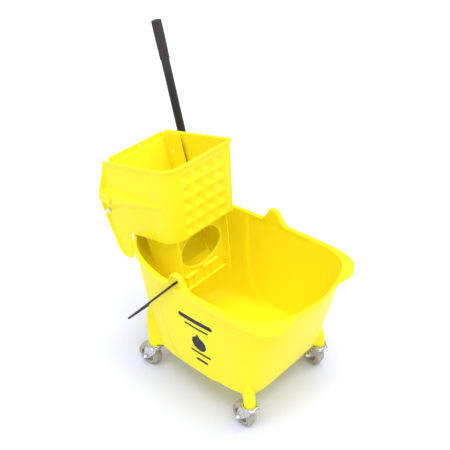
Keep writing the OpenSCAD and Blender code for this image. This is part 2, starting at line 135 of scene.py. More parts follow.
def piece(name, points, faces, place=Matrix(), smooth_angle=35):
    """A mesh object from points in millimetres, with coinciding points joined."""
    mesh = bpy.data.meshes.new(name)
    mesh.from_pydata([tuple(map(float, p)) for p in points], [], [tuple(map(int, f)) for f in faces])
    obj = bpy.data.objects.new(name, mesh)
    bpy.context.scene.collection.objects.link(obj)
    mesh.transform(Matrix.Scale(MM, 4) @ place)
    tidy_mesh(mesh, smooth_angle)
    return obj


def tidy_mesh(mesh, smooth_angle):
    """Joins coinciding points, drops empty faces, turns all faces outward and sets the shading."""
    bm = bmesh.new()
    bm.from_mesh(mesh)
    bmesh.ops.remove_doubles(bm, verts=bm.verts, dist=0.00001)
    bmesh.ops.dissolve_degenerate(bm, edges=bm.edges, dist=0.000005)
    loose = [vert for vert in bm.verts if not vert.link_faces]
    bmesh.ops.delete(bm, geom=loose, context="VERTS")
    bmesh.ops.recalc_face_normals(bm, faces=bm.faces)
    bm.to_mesh(mesh)
    bm.free()
    mesh.shade_smooth()
    mesh.set_sharp_from_angle(angle=radians(smooth_angle))


def settle(obj, smooth_angle=35):
    """Turns an object's modifiers into its mesh."""
    bpy.context.view_layer.update()
    graph = bpy.context.evaluated_depsgraph_get()
    mesh = bpy.data.meshes.new_from_object(obj.evaluated_get(graph))
    obj.modifiers.clear()
    obj.data = mesh
    tidy_mesh(mesh, smooth_angle)
    return obj


def rounded(obj, radius, segments=3, angle=40):
    """Rounds an object's sharp edges."""
    bevel = obj.modifiers.new("edges", "BEVEL")
    bevel.width = radius * MM
    bevel.segments = segments
    bevel.limit_method = "ANGLE"
    bevel.angle_limit = radians(angle)
    bevel.use_clamp_overlap = True
    return settle(obj)


def drilled(obj, radius, place):
    """Drills a hole 40 mm long through an object, up the Z axis of a place."""
    cutter = turned("drill", [(0, 0), (radius, 0), (radius, 40), (0, 40)], place, 32)
    cut = obj.modifiers.new("cut", "BOOLEAN")
    cut.operation = "DIFFERENCE"
    cut.solver = "EXACT"
    cut.object = cutter
    settle(obj)
    bpy.data.objects.remove(cutter)
    return obj


def grid_faces(rows, columns, wrap_columns=True, wrap_rows=False):
    """Quads between neighbouring points of a rows by columns grid."""
    faces = []
    for i in range(rows if wrap_rows else rows - 1):
        for j in range(columns if wrap_columns else columns - 1):
            down, right = (i + 1) % rows, (j + 1) % columns
            faces.append((i * columns + j, down * columns + j, down * columns + right, i * columns + right))
    return faces


def loft(name, rings, place=Matrix(), caps=True, closed=False, smooth_angle=35):
    """A skin through rings of equally many points, with its ends capped unless it closes on itself."""
    rings = np.asarray(rings, float)
    rows, columns = rings.shape[:2]
    faces = grid_faces(rows, columns, True, closed)
    if caps and not closed:
        faces.append(tuple(range(columns)))
        faces.append(tuple(reversed(range((rows - 1) * columns, rows * columns))))
    return piece(name, rings.reshape(-1, 3), faces, place, smooth_angle)


def circle(radius, steps=48):
    angles = np.arange(steps) * 2 * pi / steps
    return np.stack([radius * np.cos(angles), radius * np.sin(angles)], 1)


def turned(name, profile, place=Matrix(), steps=64, smooth_angle=35):
    """A lathe shape: profile points (radius, height) turned round Z."""
    rings = [np.column_stack([circle(max(r, 0.01), steps), np.full(steps, z)]) for r, z in profile]
    return loft(name, rings, place, smooth_angle=smooth_angle)


def prism(name, outline, y_low, y_high, place=Matrix()):
    """An outline of (x, z) points given depth along Y."""
    count = len(outline)
    points = [(x, y, z) for y in (y_low, y_high) for x, z in outline]
    sides = [(i, (i + 1) % count, count + (i + 1) % count, count + i) for i in range(count)]
    return piece(name, points, sides + [tuple(range(count)), tuple(range(count, 2 * count))], place)


def brick(name, low, high, place=Matrix(), radius=1.2):
    """A box with rounded edges."""
    outline = [(low[0], low[2]), (high[0], low[2]), (high[0], high[2]), (low[0], high[2])]
    return rounded(prism(name, outline, low[1], high[1], place), radius)


def arc(centre, radius, start, stop, steps=8):
    """Points on an arc in a plane, from start to stop in degrees."""
    angles = np.radians(np.linspace(start, stop, steps))
    return [(centre[0] + radius * np.cos(a), centre[1] + radius * np.sin(a)) for a in angles]


def corner_arcs(outline, radius, steps=5):
    """Rounds every corner of a closed outline, by less where an edge is short."""
    outline = [np.array(p, float) for p in outline]
    points = []
    for i, here in enumerate(outline):
        before, after = outline[i - 1] - here, outline[(i + 1) % len(outline)] - here
        reach = min(radius, 0.45 * np.linalg.norm(before), 0.45 * np.linalg.norm(after))
        start = here + before / np.linalg.norm(before) * reach
        stop = here + after / np.linalg.norm(after) * reach
        for t in np.linspace(0, 1, steps):
            points.append(tuple(start * (1 - t) ** 2 + 2 * here * t * (1 - t) + stop * t ** 2))
    return points


def sweep(name, path, section, place=Matrix(), up=(0, 0, 1), closed=False, smooth_angle=35):
    """A section of (side, up) points carried along a path of points."""
    path = np.asarray(path, float)
    if closed:
        ahead = np.roll(path, -1, 0) - np.roll(path, 1, 0)
    else:
        ahead = np.gradient(path, axis=0)
    ahead /= np.linalg.norm(ahead, axis=1)[:, None]
    side = np.cross(ahead, np.asarray(up, float))
    side /= np.linalg.norm(side, axis=1)[:, None]
    above = np.cross(side, ahead)
    across, over = section[:, 0], section[:, 1]
    rings = [p + np.outer(across, s) + np.outer(over, u) for p, s, u in zip(path, side, above)]
    return loft(name, rings, place, closed=closed, smooth_angle=smooth_angle)


def rounded_section(width, height, radius, steps=5):
    """A rounded rectangle centred on the origin."""
    half_w, half_h = width / 2 - radius, height / 2 - radius
    points = []
    for sx, sy, start in ((1, 1, 0), (-1, 1, 90), (-1, -1, 180), (1, -1, 270)):
        points += arc((sx * half_w, sy * half_h), radius, start, start + 90, steps)
    return np.array(points)


def joined(name, parts):
    """One object from several."""
    bm = bmesh.new()
    for part in parts:
        bm.from_mesh(part.data)
    mesh = bpy.data.meshes.new(name)
    bm.to_mesh(mesh)
    bm.free()
    for part in parts:
        bpy.data.objects.remove(part)
    obj = bpy.data.objects.new(name, mesh)
    bpy.context.scene.collection.objects.link(obj)
    mesh.shade_smooth()
    mesh.set_sharp_from_angle(angle=radians(35))
    return obj


# ---------- material helpers ----------

class Look:
    """A procedural material: one Principled shader and the nodes that feed it."""

    def __init__(self, name):
        self.material = bpy.data.materials.new(name)
        self.material.use_nodes = True
        self.tree = self.material.node_tree
        self.shader = self.tree.nodes["Principled BSDF"]
        self.place = self.tree.nodes.new("ShaderNodeTexCoord").outputs["Object"]

    def set(self, **sockets):
        """Sets constants straight on the shader; an underscore stands for a space."""
        for name, value in sockets.items():
            self.shader.inputs[name.replace("_", " ")].default_value = value
        return self

    def feed(self, socket, output):
        self.tree.links.new(output, self.shader.inputs[socket])

    def stretched(self, x, y, z):
        """Object coordinates scaled by x, y and z, for drawn-out patterns."""
        mapping = self.tree.nodes.new("ShaderNodeMapping")
        mapping.inputs["Scale"].default_value = (x, y, z)
        self.tree.links.new(self.place, mapping.inputs["Vector"])
        return mapping.outputs["Vector"]

    def noise(self, scale, detail=4, roughness=0.55, at=None):
        node = self.tree.nodes.new("ShaderNodeTexNoise")
        node.inputs["Scale"].default_value = scale
        node.inputs["Detail"].default_value = detail
        node.inputs["Roughness"].default_value = roughness
        self.tree.links.new(at or self.place, node.inputs["Vector"])
        return node.outputs["Fac"]

    def cells(self, scale, feature="F1", at=None):
        node = self.tree.nodes.new("ShaderNodeTexVoronoi")
        node.feature = feature
        node.inputs["Scale"].default_value = scale
        self.tree.links.new(at or self.place, node.inputs["Vector"])
        return node

    def fit(self, value, from_low, from_high, to_low=0.0, to_high=1.0):
        """Maps a value's range onto another, clamped."""
        node = self.tree.nodes.new("ShaderNodeMapRange")
        for name, number in zip(("From Min", "From Max", "To Min", "To Max"),
                                (from_low, from_high, to_low, to_high)):
            node.inputs[name].default_value = number
        self.tree.links.new(value, node.inputs["Value"])
        return node.outputs["Result"]

    def math(self, operation, a, b):
        node = self.tree.nodes.new("ShaderNodeMath")
        node.operation = operation
        for socket, value in zip(node.inputs, (a, b)):
            if isinstance(value, (int, float)):
                socket.default_value = value
            else:
                self.tree.links.new(value, socket)
        return node.outputs[0]

    def blend(self, share, a, b):
        """Colour a where share is 0, colour b where it is 1."""
        node = self.tree.nodes.new("ShaderNodeMix")
        node.data_type = "RGBA"
        node.clamp_factor = True
        self.tree.links.new(share, node.inputs[0])
        for socket, value in ((node.inputs[6], a), (node.inputs[7], b)):
            if isinstance(value, tuple):
                socket.default_value = (*value, 1)
            else:
                self.tree.links.new(value, socket)
        return node.outputs[2]

    def patches(self, low, high, scale, detail, roughness=0.55, at=None):
        """A mask that is 1 in the patches where a noise is high."""
        return self.fit(self.noise(scale, detail, roughness, at), low, high)

    def over(self, base, mask, strength, colour):
        """A colour laid over base where a mask is 1, at the given strength."""
        return self.blend(self.math("MULTIPLY", mask, strength), base, colour)

    def gloss(self, low, high, scale, detail):
        """A roughness that wanders between two values."""
        return self.fit(self.noise(scale, detail), 0.3, 0.7, low, high)

    def edges(self, low=0.51, high=0.6):
        """1 on the sharpest convex edges, 0 on flat ground."""
        geometry = self.tree.nodes.new("ShaderNodeNewGeometry")
        return self.fit(geometry.outputs["Pointiness"], low, high)

    def bump(self, height, strength, distance, below=None):
        node = self.tree.nodes.new("ShaderNodeBump")
        node.inputs["Strength"].default_value = strength
        node.inputs["Distance"].default_value = distance * MM
        self.tree.links.new(height, node.inputs["Height"])
        if below is not None:
            self.tree.links.new(below, node.inputs["Normal"])
        return node.outputs["Normal"]


def moulded_yellow():
    """Glossy moulded polypropylene: faint flow tints, a fine grain, hair scratches and paler worn edges."""
    look = Look("moulded_yellow").set(IOR=1.49, Specular_IOR_Level=0.12)
    tint = look.blend(look.noise(7, 3), (0.985, 0.85, 0.014), (1.0, 0.88, 0.022))
    scuffs = look.patches(0.6, 0.78, 26, 8, 0.7)
    tint = look.over(tint, scuffs, 0.12, (0.95, 0.8, 0.08))
    look.feed("Base Color", look.over(tint, look.edges(0.52, 0.62), 0.3, (1.0, 0.88, 0.09)))
    hairs = look.patches(0.62, 0.7, 1, 2, 0.5, look.stretched(16, 22, 900))
    scratched = look.math("MULTIPLY", hairs, 0.12)
    look.feed("Roughness", look.math("ADD", look.gloss(0.3, 0.42, 40, 5), scratched))
    waves = look.bump(look.noise(14, 2), 0.12, 1.2)
    grained = look.bump(look.noise(620, 2), 0.10, 0.12, waves)
    look.feed("Normal", look.bump(hairs, 0.10, 0.05, grained))
    return look.material


def printed_black():
    """Screen-printed ink: nearly black, with a faint mottling and worn specks."""
    look = Look("printed_black").set(Specular_IOR_Level=0.25)
    specks = look.patches(0.62, 0.7, 420, 6, 0.75)
    ink = look.blend(look.noise(60, 4), (0.012, 0.012, 0.016), (0.028, 0.027, 0.034))
    look.feed("Base Color", look.over(ink, specks, 0.5, (0.5, 0.4, 0.03)))
    look.feed("Roughness", look.gloss(0.42, 0.6, 90, 4))
    look.feed("Normal", look.bump(look.noise(500, 3), 0.15, 0.08))
    return look.material


def coated_wire():
    """Black coated wire, with drawn lines and brown-bronze rubs in scattered patches."""
    look = Look("coated_wire").set(Specular_IOR_Level=0.15)
    rubs = look.patches(0.56, 0.74, 55, 6, 0.7)
    coat = look.blend(look.noise(20, 3), (0.004, 0.0035, 0.0045), (0.009, 0.007, 0.008))
    look.feed("Base Color", look.over(coat, rubs, 0.2, (0.14, 0.075, 0.045)))
    look.feed("Metallic", look.math("MULTIPLY", rubs, 0.5))
    look.feed("Roughness", look.gloss(0.25, 0.42, 160, 4))
    look.feed("Normal", look.bump(look.noise(1, 3, 0.6, look.stretched(60, 900, 900)), 0.2, 0.1))
    return look.material


def zinc_sheet():
    """Zinc-plated pressed steel: spangle, a soft brushed grain, a few dull stains."""
    look = Look("zinc_sheet").set(Metallic=1.0)
    spangle = look.cells(170)
    tone = look.fit(spangle.outputs["Color"], 0.2, 0.8)
    metal = look.blend(tone, (0.50, 0.505, 0.52), (0.76, 0.765, 0.775))
    stains = look.patches(0.56, 0.72, 38, 7, 0.7)
    look.feed("Base Color", look.over(metal, stains, 0.35, (0.22, 0.21, 0.2)))
    dull = look.gloss(0.16, 0.34, 70, 5)
    look.feed("Roughness", look.math("ADD", dull, look.math("MULTIPLY", stains, 0.15)))
    brushed = look.noise(1, 4, 0.6, look.stretched(90, 90, 1400))
    look.feed("Normal", look.bump(brushed, 0.14, 0.08, look.bump(look.noise(300, 3), 0.08, 0.1)))
    return look.material


def bright_steel():
    """Turned bright steel: fine rings, small nicks and a slight tarnish."""
    look = Look("bright_steel").set(Metallic=1.0)
    tarnish = look.patches(0.5, 0.75, 90, 6, 0.65)
    metal = look.blend(look.noise(25, 3), (0.78, 0.79, 0.81), (0.9, 0.9, 0.91))
    look.feed("Base Color", look.over(metal, tarnish, 0.3, (0.5, 0.46, 0.4)))
    look.feed("Roughness", look.gloss(0.16, 0.32, 220, 4))
    rings = look.noise(1, 3, 0.6, look.stretched(300, 1800, 300))
    look.feed("Normal", look.bump(rings, 0.12, 0.05))
    return look.material


def dark_plate():
    """Dark coated steel plate of the hidden press arms, rubbed bright on its working edge."""
    look = Look("dark_plate")
    rubbed = look.math("MAXIMUM", look.edges(), look.patches(0.62, 0.74, 48, 7, 0.7))
    coat = look.blend(look.noise(30, 4), (0.045, 0.046, 0.05), (0.09, 0.09, 0.095))
    look.feed("Base Color", look.over(coat, rubbed, 0.7, (0.5, 0.5, 0.5)))
    look.feed("Metallic", look.math("MULTIPLY", rubbed, 0.8))
    look.feed("Roughness", look.gloss(0.35, 0.55, 150, 4))
    look.feed("Normal", look.bump(look.noise(260, 4), 0.2, 0.1))
    return look.material


def wheel_beige():
    """Grey-beige moulded wheel: speckled, a dusty film in patches, fine pits."""
    look = Look("wheel_beige").set(IOR=1.48)
    stone = look.blend(look.noise(45, 5), (0.36, 0.325, 0.255), (0.53, 0.49, 0.40))
    specks = look.patches(0.6, 0.72, 520, 3, 0.7)
    stone = look.over(stone, specks, 0.45, (0.12, 0.105, 0.085))
    dust = look.patches(0.5, 0.72, 22, 6, 0.7)
    look.feed("Base Color", look.over(stone, dust, 0.3, (0.5, 0.47, 0.4)))
    look.feed("Roughness", look.gloss(0.42, 0.62, 110, 5))
    look.feed("Normal", look.bump(look.noise(380, 4), 0.22, 0.15))
    return look.material


def natural_nylon():
    """Off-white nylon bush: cloudy, waxy, with turned rings."""
    look = Look("natural_nylon").set(IOR=1.53)
    look.feed("Base Color", look.blend(look.noise(60, 5), (0.72, 0.70, 0.62), (0.86, 0.85, 0.79)))
    look.feed("Roughness", look.gloss(0.35, 0.5, 140, 4))
    look.feed("Normal", look.bump(look.noise(1, 3, 0.5, look.stretched(200, 1400, 200)), 0.15, 0.06))
    return look.material


def black_powder():
    """Black powder coat: orange peel, a soft brown bloom and rubbed specks."""
    look = Look("black_powder").set(Specular_IOR_Level=0.22)
    bloom = look.blend(look.noise(16, 4), (0.007, 0.006, 0.0065), (0.018, 0.014, 0.015))
    rubs = look.patches(0.64, 0.74, 1, 5, 0.6, look.stretched(40, 40, 9))
    bloom = look.over(bloom, rubs, 0.25, (0.12, 0.11, 0.11))
    look.feed("Base Color", look.over(bloom, look.edges(), 0.4, (0.2, 0.19, 0.19)))
    look.feed("Roughness", look.gloss(0.36, 0.55, 80, 5))
    look.feed("Normal", look.bump(look.cells(420).outputs["Distance"], 0.18, 0.15))
    return look.material


def grip_foam():
    """Soft brown-black grip: pebbled skin, a mottled bloom and handled patches whose sheen is painted in as a
    paler colour.
    """
    look = Look("grip_foam").set(IOR=1.45, Specular_IOR_Level=0.3)
    mottled = look.blend(look.noise(70, 7, 0.7), (0.028, 0.022, 0.023), (0.075, 0.058, 0.061))
    # Paler patches: the painted sheen of handled spots, laid on as colour rather than as gloss
    pale = look.patches(0.58, 0.7, 300, 5, 0.7)
    look.feed("Base Color", look.over(mottled, pale, 0.3, (0.2, 0.17, 0.17)))
    look.feed("Roughness", look.gloss(0.55, 0.8, 35, 4))
    pebbles = look.cells(620).outputs["Distance"]
    look.feed("Normal", look.bump(pebbles, 0.45, 0.3, look.bump(look.noise(160, 4), 0.2, 0.3)))
    return look.material


def studio_floor():
    """Plain pale floor."""
    look = Look("studio_floor").set(Roughness=0.9, Specular_IOR_Level=0.1)
    look.feed("Base Color", look.blend(look.noise(3, 2), (0.70, 0.725, 0.86), (0.71, 0.735, 0.87)))
    return look.material


LOOKS = {
    "yellow_plastic": moulded_yellow(),
    "black_mark": printed_black(),
    "black_wire": coated_wire(),
    "zinc_steel": zinc_sheet(),
    "bright_steel": bright_steel(),
    "cam_steel": dark_plate(),
    "wheel_plastic": wheel_beige(),
    "pale_plastic": natural_nylon(),
    "black_paint": black_powder(),
    "grip_rubber": grip_foam(),
}


def add(obj, body, slot, *nodes):
    """Gives a piece its finish, its body and the CAD nodes that it stands for."""
    obj.data.materials.clear()
    obj.data.materials.append(LOOKS[slot])
    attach(obj, body)
    if nodes:
        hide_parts(*nodes)
    return obj


# ---------- bucket ----------

RIM_Z = node_box("ear_right")[0].z
RIM_HALF = node_box("bucket_shell")[1].y
RIM_REAR = MID_X - node_box("bucket_shell")[0].x
RIM_FRONT = 333
RIM_RISE = 12
WALL_FRONT_FOOT, WALL_FRONT_TOP = 212, 326
WALL_REAR_FOOT, WALL_REAR_TOP = 222, 287
HALF_FOOT, HALF_TOP = 172, 192
WALL = 4
FOOT_Z = 96
KNEE_Z = 125
KNEE_IN = 26
FLOOR_IN = 30
SKIRT = 22
PIVOT = joint_point("bail_swing") - Vector((MID_X, 0, 0))
EAR_RISE = node_box("ear_right")[1].z - RIM_Z
EAR_ROUND = 22
EAR_SHOULDER, EAR_FOOT = 20, 50
EAR_FLARE = 2.1
POST_R = 17
POST_Z = node_box("bucket_base")[0].z
WALL_ROWS = 22
ROUND_COLUMNS = 540


def outline(t, front, rear, half, power_front, power_rear, bow):
    """Plan points at directions t: blunt and bowed in front, rounder behind."""
    c, s = np.cos(t), np.sin(t)
    ahead = c >= 0
    reach = np.where(ahead, front, rear)
    power = np.where(ahead, power_front, power_rear)
    r = (np.abs(c / reach) ** power + np.abs(s / half) ** power) ** (-1 / power)
    x, y = r * c, r * s
    return np.stack([np.where(ahead, x * (1 - bow * (np.abs(y) / half) ** 1.3), x), y], 1)


def wall_plan(t, share, inset):
    """Plan of the wall at a share of its height, moved in."""
    return outline(t, mix(WALL_FRONT_FOOT, WALL_FRONT_TOP, share) - inset,
                   mix(WALL_REAR_FOOT, WALL_REAR_TOP, share) - inset,
                   mix(HALF_FOOT, HALF_TOP, share) - inset, 6, mix(4, 2.6, share), 0.13 * share)


def rim_plan(t):
    return outline(t, RIM_FRONT, RIM_REAR, RIM_HALF, 7, 2.5, 0.05)


def round_directions(count):
    """Directions whose rim points are evenly spaced."""
    t = np.linspace(0, 2 * pi, 7201)
    steps = np.linalg.norm(np.diff(rim_plan(t), axis=0), axis=1)
    length = np.concatenate([[0], np.cumsum(steps)])
    return np.interp(np.arange(count) * length[-1] / count, length, t)


def flange_share(t):
    """1 where the rim has its full flange, 0 at the pouring lip in front."""
    off_axis = np.degrees(np.abs(np.where(t > pi, t - 2 * pi, t)))
    return np.where(np.cos(t) < 0, 1, smooth_step((off_axis - 9) / 17))


def bell(x):
    """Height of the ear above the rim, x from the pivot: a round top on a flared foot."""
    x = np.abs(x)
    top = EAR_RISE - EAR_ROUND + np.sqrt(EAR_ROUND ** 2 - np.minimum(x, EAR_SHOULDER) ** 2)
    flare = np.clip((x - EAR_SHOULDER) / (EAR_FOOT - EAR_SHOULDER), 0, 1)
    return top * (1 - flare) ** EAR_FLARE


PANEL_X, PANEL_Z = 20, 300
PANEL_A, PANEL_B = 115, 192
PANEL_POWER = 2.7
PANEL_RISE = 5
PANEL_FADE_X, PANEL_FADE_LENGTH = 40, 120


def panel(x, z):
    """How far the curved panel moulded in each side stands out at x, z."""
    below = np.clip(PANEL_Z - z, 0, None)
    inside = np.abs((x - PANEL_X) / PANEL_A) ** PANEL_POWER + (below / PANEL_B) ** PANEL_POWER
    fade = 1 - smooth_step((x - PANEL_FADE_X) / PANEL_FADE_LENGTH)
    return PANEL_RISE * (1 - smooth_step((inside - 0.86) / 0.3)) * fade


def with_panel(points):
    """Pushes the side walls out over the panel."""
    side = np.sign(points[:, 1]) * (np.abs(points[:, 1]) > 0.75 * HALF_FOOT)
    points[:, 1] += side * panel(points[:, 0], points[:, 2])
    return points


LEG_FOOT_Z = 108
LEG_TOP_REAR, LEG_TOP_FRONT = 232, 158
LEG_FILLET = 14


def with_legs(points):
    """Pushes the outer wall out over the corner posts, with a soft fillet."""
    t = np.arctan2(points[:, 1], points[:, 0])
    wall_r = np.hypot(points[:, 0], points[:, 1])
    z = points[:, 2]
    new_r = wall_r.copy()
    for corner, (end, _) in CORNERS.items():
        centre_x, centre_y = SWIVELS[corner].x - MID_X, SWIVELS[corner].y
        distance = hypot(centre_x, centre_y)
        top, power = (LEG_TOP_REAR, 1.4) if end < 0 else (LEG_TOP_FRONT, 2)
        rise = np.clip((z - LEG_FOOT_Z) / (top - LEG_FOOT_Z), 0, 1)
        radius = (POST_R + 0.1) * np.sqrt(1 - rise ** power) + 0.01
        gap = t - atan2(centre_y, centre_x)
        off = distance * np.sin(gap)
        inside = np.clip(radius ** 2 - off ** 2, 0, None)
        leg_r = distance * np.cos(gap) + np.sqrt(inside)
        leg_r = np.where((np.abs(off) < radius) & (np.cos(gap) > 0) & (z < top), leg_r, 0)
        near = np.clip(LEG_FILLET - np.abs(new_r - leg_r), 0, None) / LEG_FILLET
        new_r = np.maximum(new_r, leg_r) + near ** 2 * LEG_FILLET / 4
    points[:, 0] *= new_r / wall_r
    points[:, 1] *= new_r / wall_r
    return points


class BucketSection:
    """Section of the moulding at all directions t at once: a list of rings of points."""

    def __init__(self, t):
        self.t = t
        self.full = flange_share(t)
        self.in_front = smooth_step((np.cos(t) - 0.35) / 0.25)
        self.wall_top = wall_plan(t, 1, 0)
        ear = np.where(np.abs(np.sin(t)) > 0.8, bell(self.wall_top[:, 0] - PIVOT.x), 0)
        self.ear = ear / EAR_RISE
        self.rim = RIM_Z + RIM_RISE * smooth_step((-np.cos(t) - 0.3) / 0.6) - 3 * (1 - self.full)
        self.crest = self.rim + ear
        self.skirt = mix(4.5, SKIRT, self.full)

    def at(self, plan, z):
        return np.column_stack([plan, np.broadcast_to(z, len(self.t))])

    def lip(self, share, z):
        """A share of the way from the wall to the flange's edge."""
        reach = np.broadcast_to(share * (0.15 + 0.85 * self.full), len(self.t))
        return self.at(mix(self.wall_top, rim_plan(self.t), reach[:, None]), z)

    def wall(self, share, inset):
        """A ring of the straight wall, at a share of the way from the knee to just under the rim."""
        return with_panel(self.at(wall_plan(self.t, share, inset), mix(KNEE_Z, self.rim - 10, share)))

    def outside(self):
        """From the middle of the underside, round the foot and up the wall."""
        rings = [self.at(wall_plan(self.t, 0, inset), FOOT_Z) for inset in (160, 110, 70, 40)]
        for angle in np.radians([0, 20, 40, 60, 78, 88]):
            rise = 1 - cos(angle)
            inset = KNEE_IN * mix(1 - sin(angle), 1 - rise, self.in_front)
            rings.append(self.at(wall_plan(self.t, 0, inset), mix(FOOT_Z, KNEE_Z, rise)))
        rings += [self.wall(share, 0) for share in np.linspace(0, 1, WALL_ROWS)]
        return [with_legs(ring) for ring in rings]

    def flange_underside(self):
        """Out under the flange, down the inside of its skirt and round the skirt's lower edge."""
        low = self.rim - self.skirt
        depth = np.minimum(self.skirt - 1, 5)
        top = self.rim - depth
        rings = [self.lip(0.03, top - 1.5), self.lip(0.12, top), self.lip(0.6, top)]
        rings += [self.lip(0.7, top - 0.25 * (self.skirt - depth)), self.lip(0.74, low + 0.8)]
        rings += [self.lip(0.80, low), self.lip(0.93, low), self.lip(1.0, low + 1.6 * self.full)]
        return rings

    def flange_outside(self):
        """Up the skirt, round the recess in each ear and over the top to the wall."""
        ear, full, crest = self.ear, self.full, self.crest
        edge = np.minimum(7, self.skirt - 2)
        below = self.rim - edge
        rings = [self.lip(1.0, below - 0.35 * (self.skirt - edge)), self.lip(1.0, below - 1 + 4 * ear)]
        rings += [self.lip(1 - 0.60 * ear, below - 0.7 + 5 * ear)]
        rings += [self.lip(1 - 0.66 * ear, crest - edge - 0.4 - 2 * ear), self.lip(1.0, crest - edge)]
        rings += [self.lip(1.0, crest - 0.55 * edge), self.lip(0.975, crest - 0.28 * edge)]
        rings += [self.lip(0.91, crest - 0.08 * edge), self.lip(0.82, crest)]
        rings += [self.lip(0.55, crest + 0.5 * full), self.lip(0.25, crest + 0.5 * full)]
        rings += [self.lip(0.0, crest)]
        return rings

    def inside(self):
        """From the rounded inner edge down the wall and across the floor."""
        rings = []
        for inset, drop in ((1.4, 0.1), (2.8, 0.8), (3.7, 2.2), (4, 4.5)):
            rings.append(self.at(wall_plan(self.t, 1, inset), self.crest - drop))
        rings.append(self.at(wall_plan(self.t, 1, WALL), mix(self.rim - 10, self.crest - 4.5, 0.5)))
        rings += [self.wall(share, WALL) for share in np.linspace(1, 0, WALL_ROWS)]
        for angle in np.radians([72, 52, 34, 16, 0]):
            inset = WALL + FLOOR_IN * (1 - sin(angle))
            z = mix(FOOT_Z + WALL, KNEE_Z, 1 - cos(angle))
            rings.append(self.at(wall_plan(self.t, 0, inset), z))
        rings += [self.at(wall_plan(self.t, 0, inset), FOOT_Z + WALL) for inset in (50, 80, 115, 160)]
        return rings

    def rings(self):
        return self.outside() + self.flange_underside() + self.flange_outside() + self.inside()


def corner_posts():
    """The foot of each corner post, with the hole that takes a caster's stem."""
    parts = []
    for corner in CORNERS:
        point = SWIVELS[corner]
        profile = [(6, POST_Z + 8), (6, POST_Z + 0.6), (6.8, POST_Z), (POST_R - 1.2, POST_Z),
                   (POST_R, POST_Z + 1.2), (POST_R, 104), (POST_R - 1.5, 106), (2, 107)]
        parts.append(turned("post_" + corner, profile, shift(point.x, point.y, 0)))
    return parts


def pivot_bosses():
    """Raised moulded rings round the bail's pivot holes, in the recess of each ear."""
    parts = []
    for side in SIDES.values():
        profile = [(3.4, 0), (3.4, 4.6), (4, 5.2), (6.4, 5.2), (7.2, 4.4), (7.6, 0)]
        place = BASE @ shift(PIVOT.x, side * (RIM_HALF - 10), PIVOT.z) @ turn(-90 * side, "X")
        parts.append(turned("boss", profile, place, 32))
    return parts


def build_bucket():
    rings = BucketSection(round_directions(ROUND_COLUMNS)).rings()
    shell = loft("bucket_moulding", rings, BASE, smooth_angle=50)
    moulding = joined("bucket_moulding_body", [shell] + corner_posts() + pivot_bosses())
    return add(moulding, "bucket", "yellow_plastic", "bucket_shell", "bucket_base", "ear_right", "ear_left")


MARK_X = 48
MARK_LIFT = 0.35
MARK_DEPTH = 0.8


def build_mark(bucket):
    """A plain mark laid on the curved side: bars and a drop, no lettering."""
    surface = BVHTree.FromPolygons([v.co for v in bucket.data.vertices],
                                   [tuple(p.vertices) for p in bucket.data.polygons])

    def laid(x, z):
        start = Vector(((MARK_X + x + MID_X) * MM, -0.5, z * MM))
        hit = surface.ray_cast(start, Vector((0, 1, 0)))[0]
        return hit / MM - Vector((0, MARK_LIFT, 0))

    def patch(name, columns):
        """A thin slab through columns of points laid on the wall."""
        front = np.array([[laid(x, z) for x, z in column] for column in columns])
        back = front + np.array([0, MARK_DEPTH, 0])
        rings = np.concatenate([front, back[:, ::-1]], 1)
        return loft(name, rings, smooth_angle=60)

    def bar(name, half_width, z_low, z_high):
        end = (z_high - z_low) / 2
        columns = []
        for x in np.linspace(-half_width, half_width, 30):
            over = max(0, abs(x) - (half_width - end)) / end
            half = end * max(0.12, (1 - over ** 2)) ** 0.5
            middle = (z_low + z_high) / 2
            columns.append([(x, z) for z in np.linspace(middle - half, middle + half, 6)])
        return patch(name, columns)

    def drop(name, radius, z_middle):
        point_top = radius * 1.5
        columns = []
        for x in np.linspace(-radius * 0.995, radius * 0.995, 31):
            low = -(radius ** 2 - x ** 2) ** 0.5
            flank = point_top - abs(x) * point_top / (radius * 0.78)
            high = max(-low, flank)
            columns.append([(x, z_middle + z) for z in np.linspace(low, high, 12)])
        return patch(name, columns)

    parts = [bar("bar_top", 62, 326, 342), bar("bar_second", 44, 306, 313), drop("drop", 26, 249),
             bar("bar_third", 38, 207, 215), bar("bar_low", 22, 177, 187)]
    return add(joined("side_print", parts), "bucket", "black_mark", "side_mark")


# ---------- bail ----------

WIRE_R = 3.2
BAIL_LENGTH = 354
BAIL_BEND = 14
BAIL_HALF = 207


def build_bail():
    """One bent wire: in through each ear, round a tight bend, down both arms and across."""
    wire_end = RIM_HALF - 11
    hook = 6
    path = []
    for side in (-1, 1):
        leg = [(0, side * wire_end, 0), (0, side * (BAIL_HALF - hook), 0)]
        leg += [(x, side * y, 0) for y, x in arc((BAIL_HALF - hook, -hook), hook, 90, 0, 7)[1:]]
        leg += [(-x, side * BAIL_HALF, 0) for x in np.linspace(40, BAIL_LENGTH - BAIL_BEND, 8)]
        bend = arc((BAIL_HALF - BAIL_BEND, -(BAIL_LENGTH - BAIL_BEND)), BAIL_BEND, 0, -90, 10)[1:]
        leg += [(x, side * y, 0) for y, x in bend]
        path += leg if side < 0 else leg[::-1]
    wire = sweep("bail_handle", path, circle(WIRE_R, 20), BAIL, smooth_angle=60)
    return add(wire, "bail", "black_wire", "bail_wire")


# ---------- casters ----------

WHEEL_R = joint_point("spin_fr").z
WHEEL_D = 2 * WHEEL_R
WHEEL_W = 32
TRAIL = hypot(*(joint_point("spin_fr") - joint_point("swivel_fr")).to_2d())
FORK_T = 2.5
FORK_IN = WHEEL_W / 2 + 1.5
FORK_OUT = FORK_IN + FORK_T
RACE_LIFT = 4.1
AXLE_RIGHT, AXLE_LEFT = 10.5, 7


